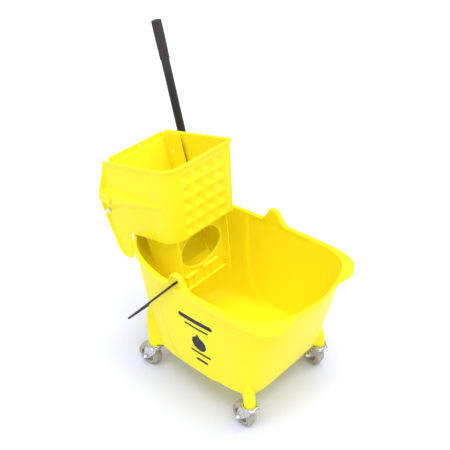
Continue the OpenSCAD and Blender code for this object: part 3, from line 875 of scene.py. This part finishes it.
def build_stem(corner):
    """Stem pin with a two-ring ball race that cups the foot of its post."""
    point = SWIVELS[corner]
    low = WHEEL_D + RACE_LIFT
    shank = [(0, WHEEL_D + 1.4), (5, WHEEL_D + 1.4), (5.5, WHEEL_D + 2), (5.5, low)]
    lower = [(21, low), (22.5, low + 1), (22.5, low + 4), (21.4, low + 5.2), (20.2, low + 5.6)]
    upper = [(20.2, low + 6.2), (21.4, low + 6.6), (22.3, low + 7.6), (22.3, low + 10.2),
             (21.2, low + 11.6)]
    cup = [(18.6, low + 12), (17.6, low + 11.4), (17.6, POST_Z - 0.6), (5.5, POST_Z - 0.5)]
    profile = shank + lower + upper + cup + [(5.5, POST_Z + 24), (4.5, POST_Z + 25), (0, POST_Z + 25)]
    stem = turned("race_" + corner, profile, shift(point.x, point.y, 0), 72)
    return add(stem, "bucket", "zinc_steel", "stem_" + corner)


def fork_cheek(side):
    """Side plate of the fork: broad at the crown, tapering to a round eye at the axle."""
    eye = arc((-TRAIL, WHEEL_R), 11, 150, 330, 14)
    shape = [(18, WHEEL_D + 1), (-22, WHEEL_D + 1), (-30, WHEEL_D - 12)] + eye + [(17, WHEEL_D - 6)]
    low, high = sorted((side * FORK_IN, side * FORK_OUT))
    return prism("cheek", shape, low, high)


def build_fork(corner):
    """Pressed fork: a crown plate, a raised disc under the race and two cheeks."""
    crown_section = corner_arcs([(-24, -FORK_OUT), (18, -FORK_OUT), (18, FORK_OUT), (-24, FORK_OUT)], 5)
    crown = loft("crown", [[(x, y, z) for x, y in crown_section] for z in (WHEEL_D + 1.2, WHEEL_D + 3.5)])
    disc = turned("disc", [(5.6, WHEEL_D + 1.3), (22, WHEEL_D + 1.3), (22.5, WHEEL_D + 1.9),
                           (22.5, WHEEL_D + 3), (21.8, WHEEL_D + 3.6), (5.6, WHEEL_D + 3.6)])
    parts = [rounded(part, 0.9, 3) for part in (crown, fork_cheek(-1), fork_cheek(1))] + [disc]
    fork = joined("fork_plate_" + corner, parts)
    fork.data.transform(Matrix.Scale(MM, 4) @ caster_place(corner) @ Matrix.Scale(1 / MM, 4))
    return add(fork, "swivel_" + corner, "zinc_steel", "fork_" + corner)


def build_axle(corner):
    """Axle bolt with a hexagon nut outside each cheek; the longer end is on the right."""
    place = caster_place(corner) @ shift(-TRAIL, 0, WHEEL_R)
    right, left = FORK_OUT + AXLE_RIGHT, FORK_OUT + AXLE_LEFT
    shaft = [(0, -left), (3.2, 0.4 - left), (4, 1.6 - left)]
    shaft += [(4, right - 1.6), (3.2, right - 0.4), (0, right)]
    parts = [turned("shaft", shaft, place @ turn(90, "X"), 32)]
    for side in (-1, 1):
        at = place @ shift(0, side * FORK_OUT, 0) @ turn(-90 * side, "X")
        nut = [(3.9, 0), (7.6, 0), (7.6, 4.2), (6.6, 5.2), (3.9, 5.4)]
        parts.append(rounded(turned("nut", nut, at, 6, 20), 0.6, 2))
    return add(joined("axle_bolt_" + corner, parts), "swivel_" + corner, "bright_steel", "axle_" + corner)


def build_wheel(corner):
    """Moulded wheel: crowned tread, a parting line, a dished web with a groove, and a hub."""
    place = caster_place(corner) @ shift(-TRAIL, 0, WHEEL_R) @ turn(90, "X")
    half = WHEEL_W / 2
    face = [(4.1, half + 1.0), (6.6, half + 1.0), (7.8, half + 0.2), (8.2, half - 1.5), (10, half - 3),
            (10.8, half - 10), (20, half - 10.5), (22.4, half - 9.4), (23.4, half - 1.2), (24.4, half - 0.2),
            (28.5, half), (29.8, half - 0.5), (30.6, half - 2.4), (31.6, half - 0.9), (34.4, half - 1.6),
            (36.6, half - 4.2), (37.7, half - 8), (WHEEL_R - 0.02, half - 13), (WHEEL_R, 0.8),
            (WHEEL_R - 0.5, 0)]
    profile = face + [(r, -z) for r, z in reversed(face[:-1])]
    wheel = turned("tyre_" + corner, profile + [(4.1, 0)], place, 96, 30)
    return add(wheel, "roller_" + corner, "wheel_plastic", "wheel_" + corner)


# ---------- wringer ----------

WR_HALF = 118
WR_T = 4
FRONT_X = 284
WR_DEPTH = 225
FRONT_DROP = 53
FRONT_TILT = atan2(FRONT_DROP, WR_DEPTH)
NEAR_R, FAR_R = 45, 8
WALL_LENGTH = hypot(FRONT_DROP, WR_DEPTH)
CELL_Y, CELL_W = 42, 41
CELL_FIRST_Y, CELL_FIRST_W = -55, 43.1
CELL_COLUMNS, CELL_ROWS = 4, 5
FIELD_Y = (-73, 108.5)
FIELD_W = (CELL_FIRST_W - CELL_W / 2, CELL_FIRST_W + (CELL_ROWS - 0.5) * CELL_W)
WAFFLE = 6.5
FIELD_T = 9
BOSS_OUT = 16
CLEARANCE_R = 9
LIP_OUT, LIP_DOWN = 4, 8


def down_front(x, y, w, inward=0.0):
    """A point w down the leaning front wall from the rim point x, y, moved inward."""
    s, c = sin(FRONT_TILT), cos(FRONT_TILT)
    return (x - w * s - inward * c, y, -w * c + inward * s)


def rim_path(out, x_rear_near, x_rear_far):
    """Plan of the basket's wall grown by out: near side, near corner, front, far corner, far side."""
    near = [(x, -WR_HALF - out) for x in np.linspace(x_rear_near, FRONT_X - NEAR_R, 26)]
    near += arc((FRONT_X - NEAR_R, -WR_HALF + NEAR_R), NEAR_R + out, -90, 0, 18)[1:]
    front = [(FRONT_X + out, y) for y in (FIELD_Y[0], -40, 0, 40, 80, FIELD_Y[1])]
    far = arc((FRONT_X - FAR_R, WR_HALF - FAR_R), FAR_R + out, 0, 90, 9)
    far += [(x, WR_HALF + out) for x in np.linspace(FRONT_X - FAR_R, x_rear_far, 26)[1:]]
    return near + front + far


def front_wall():
    """The corner and front walls, open where the waffle field sits."""
    outer = rim_path(0.12, FRONT_X - NEAR_R - 30, FRONT_X - FAR_R - 30)
    inner = rim_path(-WR_T - 0.12, FRONT_X - NEAR_R - 30, FRONT_X - FAR_R - 30)
    levels = [1.0, FIELD_W[0], 60, 110, 160, FIELD_W[1], WALL_LENGTH - 1.0, WALL_LENGTH]
    rows = [[down_front(x, y, w) for x, y in outer] for w in levels]
    rows += [[down_front(x, y, w) for x, y in inner] for w in reversed(levels)]
    rows = np.array(rows)
    columns = rows.shape[1]
    in_field = {i for i, (x, y) in enumerate(outer) if FIELD_Y[0] <= y < FIELD_Y[1] and x > FRONT_X - 1}
    field_rows = set(range(1, 5)) | set(range(10, 14))
    faces = []
    for i, j in ((i, j) for i in range(len(rows)) for j in range(columns - 1)):
        if i in field_rows and j in in_field:
            continue
        down = (i + 1) % len(rows)
        faces.append((i * columns + j, down * columns + j, down * columns + j + 1, i * columns + j + 1))
    for j in (0, columns - 1):
        faces.append(tuple(i * columns + j for i in range(len(rows))))
    return piece("front_wall", rows.reshape(-1, 3), faces, WRINGER, 40)


def waffle_field():
    """The thick field of the front wall, with sunk pyramids in rows and columns."""
    half_y, half_w = CELL_Y / 2 - 3.2, CELL_W / 2 - 2.8
    floor_y, floor_w = 3.4, 3.0
    points, faces = [], []

    def point(y, w, inward=0.0):
        points.append(down_front(FRONT_X, y, w, inward))
        return len(points) - 1

    def quad(y0, y1, w0, w1):
        if y1 - y0 > 0.01 and w1 - w0 > 0.01:
            faces.append((point(y0, w0), point(y1, w0), point(y1, w1), point(y0, w1)))

    centres_y = [CELL_FIRST_Y + i * CELL_Y for i in range(CELL_COLUMNS)]
    centres_w = [CELL_FIRST_W + i * CELL_W for i in range(CELL_ROWS)]
    lows = [max(y - half_y, FIELD_Y[0] + 1.5) for y in centres_y]
    cuts_y = [FIELD_Y[0]] + [v for y, low in zip(centres_y, lows) for v in (low, y + half_y)] + [FIELD_Y[1]]
    cuts_w = [FIELD_W[0]] + [v for w in centres_w for v in (w - half_w, w + half_w)] + [FIELD_W[1]]
    for i, (y0, y1) in enumerate(zip(cuts_y, cuts_y[1:])):
        for j, (w0, w1) in enumerate(zip(cuts_w, cuts_w[1:])):
            if i % 2 == 0 or j % 2 == 0:
                quad(y0, y1, w0, w1)
                continue
            y_mid, w_mid = centres_y[i // 2], centres_w[j // 2]
            rim = [point(y, w) for y, w in ((y0, w0), (y1, w0), (y1, w1), (y0, w1))]
            floor = [point(y_mid + a * floor_y, w_mid + b * floor_w, WAFFLE)
                     for a, b in ((-1, -1), (1, -1), (1, 1), (-1, 1))]
            faces.append(tuple(floor))
            for k in range(4):
                faces.append((rim[k], rim[(k + 1) % 4], floor[(k + 1) % 4], floor[k]))
    corners = [(FIELD_Y[0], FIELD_W[0]), (FIELD_Y[1], FIELD_W[0]),
               (FIELD_Y[1], FIELD_W[1]), (FIELD_Y[0], FIELD_W[1])]
    back = [point(y, w, FIELD_T) for y, w in corners]
    faces.append(tuple(back))
    edges = [cuts_y, cuts_w, cuts_y[::-1], cuts_w[::-1]]
    for k in range(4):
        fixed = corners[k]
        run = [(v, fixed[1]) if k % 2 == 0 else (fixed[0], v) for v in edges[k]]
        side = [point(y, w) for y, w in run]
        faces.append(tuple(side + [back[(k + 1) % 4], back[k]]))
    field = piece("waffle", points, faces, WRINGER, 20)
    return rounded(field, 0.5, 2, 12)


def side_wall(side):
    """Flat side of the basket with the tail that hangs behind the bucket."""
    corner_r = NEAR_R if side < 0 else FAR_R
    top_x = FRONT_X - corner_r - 2
    shape = [(1, -1), (top_x, -1), (top_x - FRONT_DROP, -WR_DEPTH), (46, -WR_DEPTH), (30, -231)]
    shape += [(15, -298), (7, -311), (-28, -311.5), (-40, -298), (-68, -145), (-62, -122), (-48, -94)]
    low, high = sorted((side * (WR_HALF - WR_T), side * WR_HALF))
    wall = prism("side_wall", corner_arcs(shape, 9, 6), low, high, WRINGER)
    if side > 0:
        drilled(wall, CLEARANCE_R, WRINGER @ shift(24, WR_HALF - 20, -63) @ turn(-90, "X"))
    return rounded(wall, 0.9, 3)


def rolled_rim():
    """Lip rolled outward along the near, front and far walls."""
    path = [(x, y, 0) for x, y in rim_path((LIP_OUT - 1) / 2, 0, 0)]
    section = rounded_section(LIP_OUT + 1, LIP_DOWN, 2.2) + np.array([0, -LIP_DOWN / 2 + 1])
    return sweep("rim", path, section, WRINGER, smooth_angle=50)


def tail_flange(side):
    """Ribbon of material along the tail's rear and lower edges."""
    edge = [(-50, -104), (-60, -122), (-67, -145), (-39.5, -297), (-28, -309.5), (6, -309.5),
            (13, -300), (20, -268)]
    path = [(x, side * (WR_HALF + 1.5), z) for x, z in corner_arcs(edge, 10, 6)[6:-6]]
    return sweep("tail_flange", path, rounded_section(11, 5, 2.2), WRINGER, up=(0, -side, 0), smooth_angle=50)


BOSS_R = 27
FAIRING_LENGTH = 229


def rear_edge(z):
    """Where the wall's rear edge is at height z, beside the boss."""
    return -46 - 22 * (-92 - z) / 53


def boss(side):
    """Round bearing boss, sunk in the big end of a cone that runs forward along the wall."""
    seat = shift(SHAFT_IN_WRINGER.x, side * (WR_HALF - 3), SHAFT_IN_WRINGER.z)
    place = WRINGER @ seat @ turn(-90 * side, "X")
    out = BOSS_OUT + 3
    profile = [(14.1, 0), (14.1, out - 2.4), (19.3, out - 2.4), (19.5, out - 0.5), (20.1, out), (21.4, out),
               (22.0, out - 0.6), (22.4, out - 5), (22.4, 0)]
    ring = turned("boss", profile, place, 72)
    angles = np.linspace(0, pi, 29)
    rings = []
    for share, height in ((0, 0.7), (0.03, 0.9), (0.08, 1), (0.5, 1)):
        z = SHAFT_IN_WRINGER.z - mix(23, BOSS_R, share) * np.cos(angles)
        x = mix(rear_edge(z) + 0.6, SHAFT_IN_WRINGER.x, share)
        y = side * (WR_HALF - 0.4 + BOSS_OUT * height * np.sin(angles) ** 0.72)
        rings.append(np.column_stack([x, y, z]))
    for share in list(np.linspace(0, 0.95, 20)) + [0.97, 0.985, 1]:
        closing = min(1, (1 - share) * 14) ** 0.5
        z = SHAFT_IN_WRINGER.z - (mix(BOSS_R, 6.5, share) * closing + 0.05) * np.cos(angles)
        x = np.full(29, SHAFT_IN_WRINGER.x + FAIRING_LENGTH * share)
        height = mix(BOSS_OUT, 4, share) * closing ** 0.8 + 0.05
        y = side * (WR_HALF - 0.4 + height * np.sin(angles) ** 0.72)
        rings.append(np.column_stack([x, y, z]))
    return [ring, loft("fairing", rings, WRINGER, smooth_angle=60)]


def rear_cheek(side):
    """Thickened rear edge of the wall, swelling from the rim down to the boss."""
    rings = []
    for share in np.linspace(0, 1, 9):
        x_rear, z = mix(0.5, -47, share), mix(-2, -96, share)
        y_in, y_out = WR_HALF - 1, WR_HALF + mix(0.8, 14.5, share ** 1.2)
        section = [(x_rear, y_in), (x_rear + 14, y_in), (x_rear + 9, y_out), (x_rear + 0.5, y_out)]
        rings.append([(x, side * y, z) for x, y in corner_arcs(section, 2.6, 5)])
    return loft("rear_cheek", rings, WRINGER, smooth_angle=50)


def guide_rails():
    """Rails inside the side walls that the press plate's pads ride on."""
    parts = []
    for side in SIDES.values():
        low, high = sorted((side * (WR_HALF - WR_T + 0.4), side * (WR_HALF - WR_T - 3)))
        parts.append(brick("rail", (2, low, -152), (152, high, -148), WRINGER, 0.8))
    return parts


def build_basket():
    parts = [front_wall(), waffle_field(), rolled_rim()] + guide_rails()
    for side in SIDES.values():
        parts += [side_wall(side), tail_flange(side), rear_cheek(side)] + boss(side)
    return add(joined("wringer_moulding", parts), "wringer", "yellow_plastic", "wringer_basket")


def build_cap():
    """Press-in cap that closes the right bearing."""
    place = WRINGER @ shift(SHAFT_IN_WRINGER.x, -WR_HALF - BOSS_OUT, SHAFT_IN_WRINGER.z) @ turn(90, "X")
    profile = [(0, 2.6), (10, 2.8), (15.5, 3.0), (17.6, 2.6), (18.5, 1.4), (18.5, 0), (0, 0)]
    return add(turned("bearing_plug", profile, place, 72), "wringer", "yellow_plastic", "bearing_cap")


def build_tie_rod():
    """Bright tie rod with threaded ends and a domed nut outside each wall."""
    low, high = node_box("tie_rod")
    middle = (low + high) / 2
    radius = (high.x - low.x) / 2
    end = high.y + 4
    place = shift(middle.x, 0, middle.z)
    profile = [(0, -end), (radius - 1, -end), (radius, -end + 1)]
    threads = np.arange(-end + 2, -end + 12, 1.0)
    profile += [p for y in threads for p in ((radius, y), (radius - 0.45, y + 0.5))]
    profile += [(r, -y) for r, y in reversed(profile)]
    parts = [turned("rod", profile, place @ turn(-90, "X"), 24, 50)]
    for side in SIDES.values():
        nut = [(radius - 0.2, 0), (7.2, 0), (7.2, 4.6), (6.2, 5.6), (radius - 0.2, 5.6)]
        at = place @ shift(0, side * (WR_HALF + 0.1), 0) @ turn(-90 * side, "X")
        parts.append(rounded(turned("nut", nut, at, 6, 20), 0.5, 2))
    rod = joined("tie_rod_and_nuts", parts)
    return add(rod, "wringer", "bright_steel", "tie_rod", "tie_nut_right", "tie_nut_left")


CHUTE_FRONT_X = -109
CHUTE_HALF = 94
WINDOW_Z = 405
WINDOW_A, WINDOW_B = 78, 58
BAND = 8


def chute_window():
    """Front panel of the chute: an oval opening in a raised band, out to the panel's straight edges."""
    angles = np.radians(np.arange(0, 360, 4))
    c, s = np.cos(angles), np.sin(angles)
    low_z, high_z = 286, 506
    to_side = CHUTE_HALF / np.maximum(np.abs(c), 1e-6)
    to_end = np.where(s > 0, high_z - WINDOW_Z, WINDOW_Z - low_z) / np.maximum(np.abs(s), 1e-6)
    reach = np.minimum(to_side, to_end)
    edge = np.stack([reach * c, reach * s], 1)

    def oval(grow):
        return np.stack([(WINDOW_A + grow) * c, (WINDOW_B + grow) * s], 1)

    rows = [(oval(0), -3.5), (oval(0), 2.0), (oval(0.8), 3.0), (oval(BAND - 2), 3.0), (oval(BAND - 0.8), 2.4),
            (oval(BAND), 0.6), (oval(BAND + 1), 0), (mix(oval(BAND + 1), edge, 0.97), 0), (edge, -0.8),
            (edge, -3.2), (mix(oval(BAND + 1), edge, 0.97), -4), (oval(0.6), -4)]
    rings = [np.column_stack([np.full(len(c), CHUTE_FRONT_X + out), plan[:, 0], WINDOW_Z + plan[:, 1]])
             for plan, out in rows]
    return loft("window", rings, BASE, closed=True, smooth_angle=45)


def above_chute(x):
    """Height of the basket floor's underside over x, where the chute ends."""
    floor = WRINGER @ Vector((0, 0, -221))
    return floor.z + (x + MID_X - floor.x) * RIM_DIRECTION.z / RIM_DIRECTION.x


def build_chute():
    parts = [chute_window()]
    fin = [(-243, above_chute(-243)), (-236, 441), (-211, 364), (-176, 300), (-150, 284), (-98, 271),
           (-90, 281), (-90, above_chute(-90))]
    for side in SIDES.values():
        low, high = sorted((side * 93, side * 97))
        parts.append(rounded(prism("fin", corner_arcs(fin, 7, 5), low, high, BASE), 1.2))
    for y_low, y_high in ((-78, -27), (-6, 56)):
        parts.append(brick("bar", (-111, y_low, 329), (-99.5, y_high, 341), BASE, 5.2))
    for y in (-66, -40, 4, 30):
        parts.append(brick("rib", (-110, y, 288), (-105.5, y + 3.5, 332), BASE, 1.4))
    parts.append(brick("toe", (-110, -93, 285), (-103, 93, 290), BASE, 1.4))
    slope = 18
    back = shift(-211, 0, 364) @ turn(-slope, "Y")
    top = (above_chute(-225) - 364) / cos(radians(slope)) - 4
    parts.append(brick("back", (0, -93.5, -62), (4, 93.5, top), BASE @ back, 1.2))
    return add(joined("chute_moulding", parts), "wringer", "yellow_plastic", "drain_chute")


# ---------- press ----------

WING_Y = WR_HALF - WR_T - 7.5
PRESS_FOOT = -212
SIGHT_R = 4
HANG_R = 3


def build_press():
    """Plate with a rounded top flange, a hang hole, a step and lugs for the return pins."""
    flange = corner_arcs([(-95, -17.5), (WING_Y, -17.5), (WING_Y, -1), (-95, -1)], 6, 6)
    rings = [[(x, y, z) for y, z in flange] for x in (-5, -1)]
    top = loft("flange", rings, WRINGER)
    drilled(top, HANG_R, WRINGER @ shift(-23, 19, -9) @ turn(90, "Y"))
    parts = [rounded(top, 1.1)]
    step = corner_arcs([(-5, -16), (-5, -20), (4, -24), (8, -24), (8, -19), (2, -16)], 2.4, 4)
    parts.append(rounded(prism("step", step, -WING_Y, WING_Y, WRINGER), 0.8))
    parts.append(brick("panel", (4, -WING_Y, PRESS_FOOT), (8, WING_Y, -20), WRINGER, 1.2))
    parts.append(brick("return", (-5, WING_Y - 3, -20), (9, WING_Y, -1), WRINGER, 1.0))
    pin_low, pin_high = node_box("return_pin_right")
    pin = WRINGER.inverted() @ ((pin_low + pin_high) / 2)
    for side in SIDES.values():
        for gap in (-1, 1):
            y = side * abs(pin.y) + gap * 7.5
            low, high = (pin.x - 4, y - 1.5, pin.z - 6), (4.5, y + 1.5, pin.z + 6)
            parts.append(brick("lug", low, high, WRINGER, 0.8))
    return add(joined("press_moulding", parts), "press", "yellow_plastic", "press_plate")


def build_wing(side_name):
    """End wing of the plate with the pads that ride on the guide rail."""
    side = SIDES[side_name]
    top = -1.5 if side > 0 else -19.5
    low, high = sorted((side * (WING_Y - 3), side * WING_Y))
    shape = corner_arcs([(8, PRESS_FOOT), (82, PRESS_FOOT), (82, top), (8, top)], 5, 5)
    wing = prism("wing", shape, low, high, WRINGER)
    if side > 0:
        drilled(wing, SIGHT_R, WRINGER @ shift(33, WING_Y - 20, -58) @ turn(-90, "X"))
    parts = [rounded(wing, 1.0)]
    low, high = sorted((side * (WING_Y - 0.5), side * (WING_Y + 6.5)))
    for z in (-160, -147.5):
        parts.append(brick("pad", (8, low, z), (78, high, z + 7.5), WRINGER, 0.9))
    name = "press_wing_" + side_name
    return add(joined("wing_moulding_" + side_name, parts), "press", "yellow_plastic", name)


# ---------- lever ----------

TUBE_OFF = 30
TUBE_R = 12.5
GRIP_R = 14.5
GRIP_LENGTH = 112
SHAFT_R = 9
LEVER_LENGTH = 426
TUBE_Y = 165


def build_tube():
    """Lever tube with a rounded foot; its upper end is inside the grip."""
    top = LEVER_LENGTH - 8
    profile = [(TUBE_R - 2, 4), (TUBE_R - 2, 2), (TUBE_R - 1.5, 1.6), (TUBE_R - 0.5, 1.8), (TUBE_R, 2.4),
               (TUBE_R, 120), (TUBE_R, 260), (TUBE_R, top), (TUBE_R - 2, top), (TUBE_R - 2, 4)]
    tube = turned("lever_pipe", profile, LEVER @ shift(TUBE_OFF, TUBE_Y, 0), 56)
    return add(tube, "lever", "black_paint", "lever_tube")


def build_grip():
    """Soft sleeve: a thin collar at its foot, a slight swell and a flat, softly rounded end."""
    base = LEVER_LENGTH - GRIP_LENGTH
    swell = [(GRIP_R - 0.5 + 0.5 * sin(pi * share) + 0.7 * share, base + 6 + share * (GRIP_LENGTH - 12))
             for share in np.linspace(0, 1, 14)]
    profile = [(TUBE_R, base + 1), (TUBE_R + 0.4, base), (GRIP_R - 0.6, base + 0.4), (GRIP_R, base + 1.6),
               (GRIP_R, base + 4.2)] + swell + [(GRIP_R + 0.6, LEVER_LENGTH - 2.6),
               (GRIP_R - 0.4, LEVER_LENGTH - 0.8), (GRIP_R - 2.2, LEVER_LENGTH), (4, LEVER_LENGTH - 0.4),
               (0, LEVER_LENGTH - 0.4)]
    grip = turned("grip_sleeve", profile + [(0, base + 1)], LEVER @ shift(TUBE_OFF, TUBE_Y, 0), 64)
    return add(grip, "lever", "grip_rubber", "lever_grip")


def build_socket():
    """Cast socket: a hub on the shaft, a cranked web and a clamp sleeve round the tube."""
    hub = [(SHAFT_R + 0.1, WR_HALF + 18), (20, WR_HALF + 18), (21, WR_HALF + 19.2), (21, TUBE_Y + 15.8),
           (20, TUBE_Y + 17), (SHAFT_R + 0.1, TUBE_Y + 17)]
    sleeve = [(TUBE_R + 0.02, -6), (16, -6), (17, -5), (17, 76.8), (16.2, 78), (TUBE_R + 0.02, 78)]
    parts = [turned("hub", hub, LEVER @ turn(-90, "X"), 64)]
    parts.append(turned("sleeve", sleeve, LEVER @ shift(TUBE_OFF, TUBE_Y, 0), 56))
    web = corner_arcs([(12, -13), (TUBE_OFF - 6, -5), (TUBE_OFF - 6, 44), (12, 17)], 4, 5)
    parts.append(rounded(prism("web", web, TUBE_Y - 11, TUBE_Y + 11, LEVER), 1.6))
    return add(joined("lever_casting", parts), "lever", "black_paint", "lever_socket")


# ---------- all pieces ----------

bucket_body = build_bucket()
build_mark(bucket_body)
build_bail()
for corner_name in CORNERS:
    build_stem(corner_name)
    build_fork(corner_name)
    build_axle(corner_name)
    build_wheel(corner_name)
build_basket()
build_cap()
build_tie_rod()
build_chute()
build_press()
for side_label in SIDES:
    build_wing(side_label)
build_tube()
build_grip()
build_socket()

# The CAD nodes still shown take the finish that the record gives them
SLOTS = {part["node"]: part["material_slot"] for part in frame["record"]["subparts"]}
for node_name, node_object in frame["nodes"].items():
    node_object.data.materials.clear()
    node_object.data.materials.append(LOOKS[SLOTS[node_name]])
    node_object.data.shade_smooth()
    node_object.data.set_sharp_from_angle(angle=radians(30))


# ---------- stage ----------

def build_floor():
    """A plain floor that runs far past the picture on every side."""
    size = 30000
    corners = [(-size, -size, 0), (size, -size, 0), (size, size, 0), (-size, size, 0)]
    floor = piece("floor", corners, [(0, 1, 2, 3)])
    floor.data.materials.append(studio_floor())


def sun(name, direction, strength, spread):
    """A distant soft light that shines from a direction; its spread is in degrees."""
    data = bpy.data.lights.new(name, "SUN")
    data.energy = strength
    data.angle = radians(spread)
    light = bpy.data.objects.new(name, data)
    bpy.context.scene.collection.objects.link(light)
    light.rotation_euler = Vector(direction).to_track_quat("Z", "Y").to_euler()


def build_lights():
    """A bright white room, a soft key from the left, a broad light from above and a fill behind."""
    world = bpy.data.worlds.new("studio")
    bpy.context.scene.world = world
    world.use_nodes = True
    background = world.node_tree.nodes["Background"]
    background.inputs["Color"].default_value = (1, 1, 1, 1)
    background.inputs["Strength"].default_value = 0.70
    sun("key", (-0.25, -1, 1.05), 0.32, 24)
    sun("overhead", (0.25, -0.05, 1), 2.45, 50)
    sun("right", (0.6, 1, 0.95), 0.45, 14)


CAMERA_AZIMUTH = 46.3
CAMERA_ELEVATION = 33.5
CAMERA_ROLL = -5.2
CAMERA_DISTANCE = 2.0
CAMERA_LENS = 57.16
CAMERA_AIM = Vector((-0.0056, 0.0386, -0.0041))


def build_camera(aim):
    """Looks along +Y at azimuth 0, turned round Z and raised, then rolled about its own axis."""
    a, e = radians(CAMERA_AZIMUTH), radians(CAMERA_ELEVATION)
    back = Vector((sin(a) * cos(e), -cos(a) * cos(e), sin(e)))
    right = Vector((cos(a), sin(a), 0))
    up = back.cross(right)
    facing = Matrix((right, up, back)).transposed().to_4x4()
    data = bpy.data.cameras.new("camera")
    data.sensor_width = 36
    data.lens = CAMERA_LENS
    data.clip_end = 200
    camera = bpy.data.objects.new("camera", data)
    bpy.context.scene.collection.objects.link(camera)
    place = Matrix.Translation(aim + back * CAMERA_DISTANCE)
    camera.matrix_world = place @ facing @ Matrix.Rotation(radians(CAMERA_ROLL), 4, "Z")
    bpy.context.scene.camera = camera


box_middle = (cad_low + cad_high) / 2
build_floor()
build_lights()
build_camera(box_middle + CAMERA_AIM)
bpy.context.scene.view_settings.view_transform = "Standard"
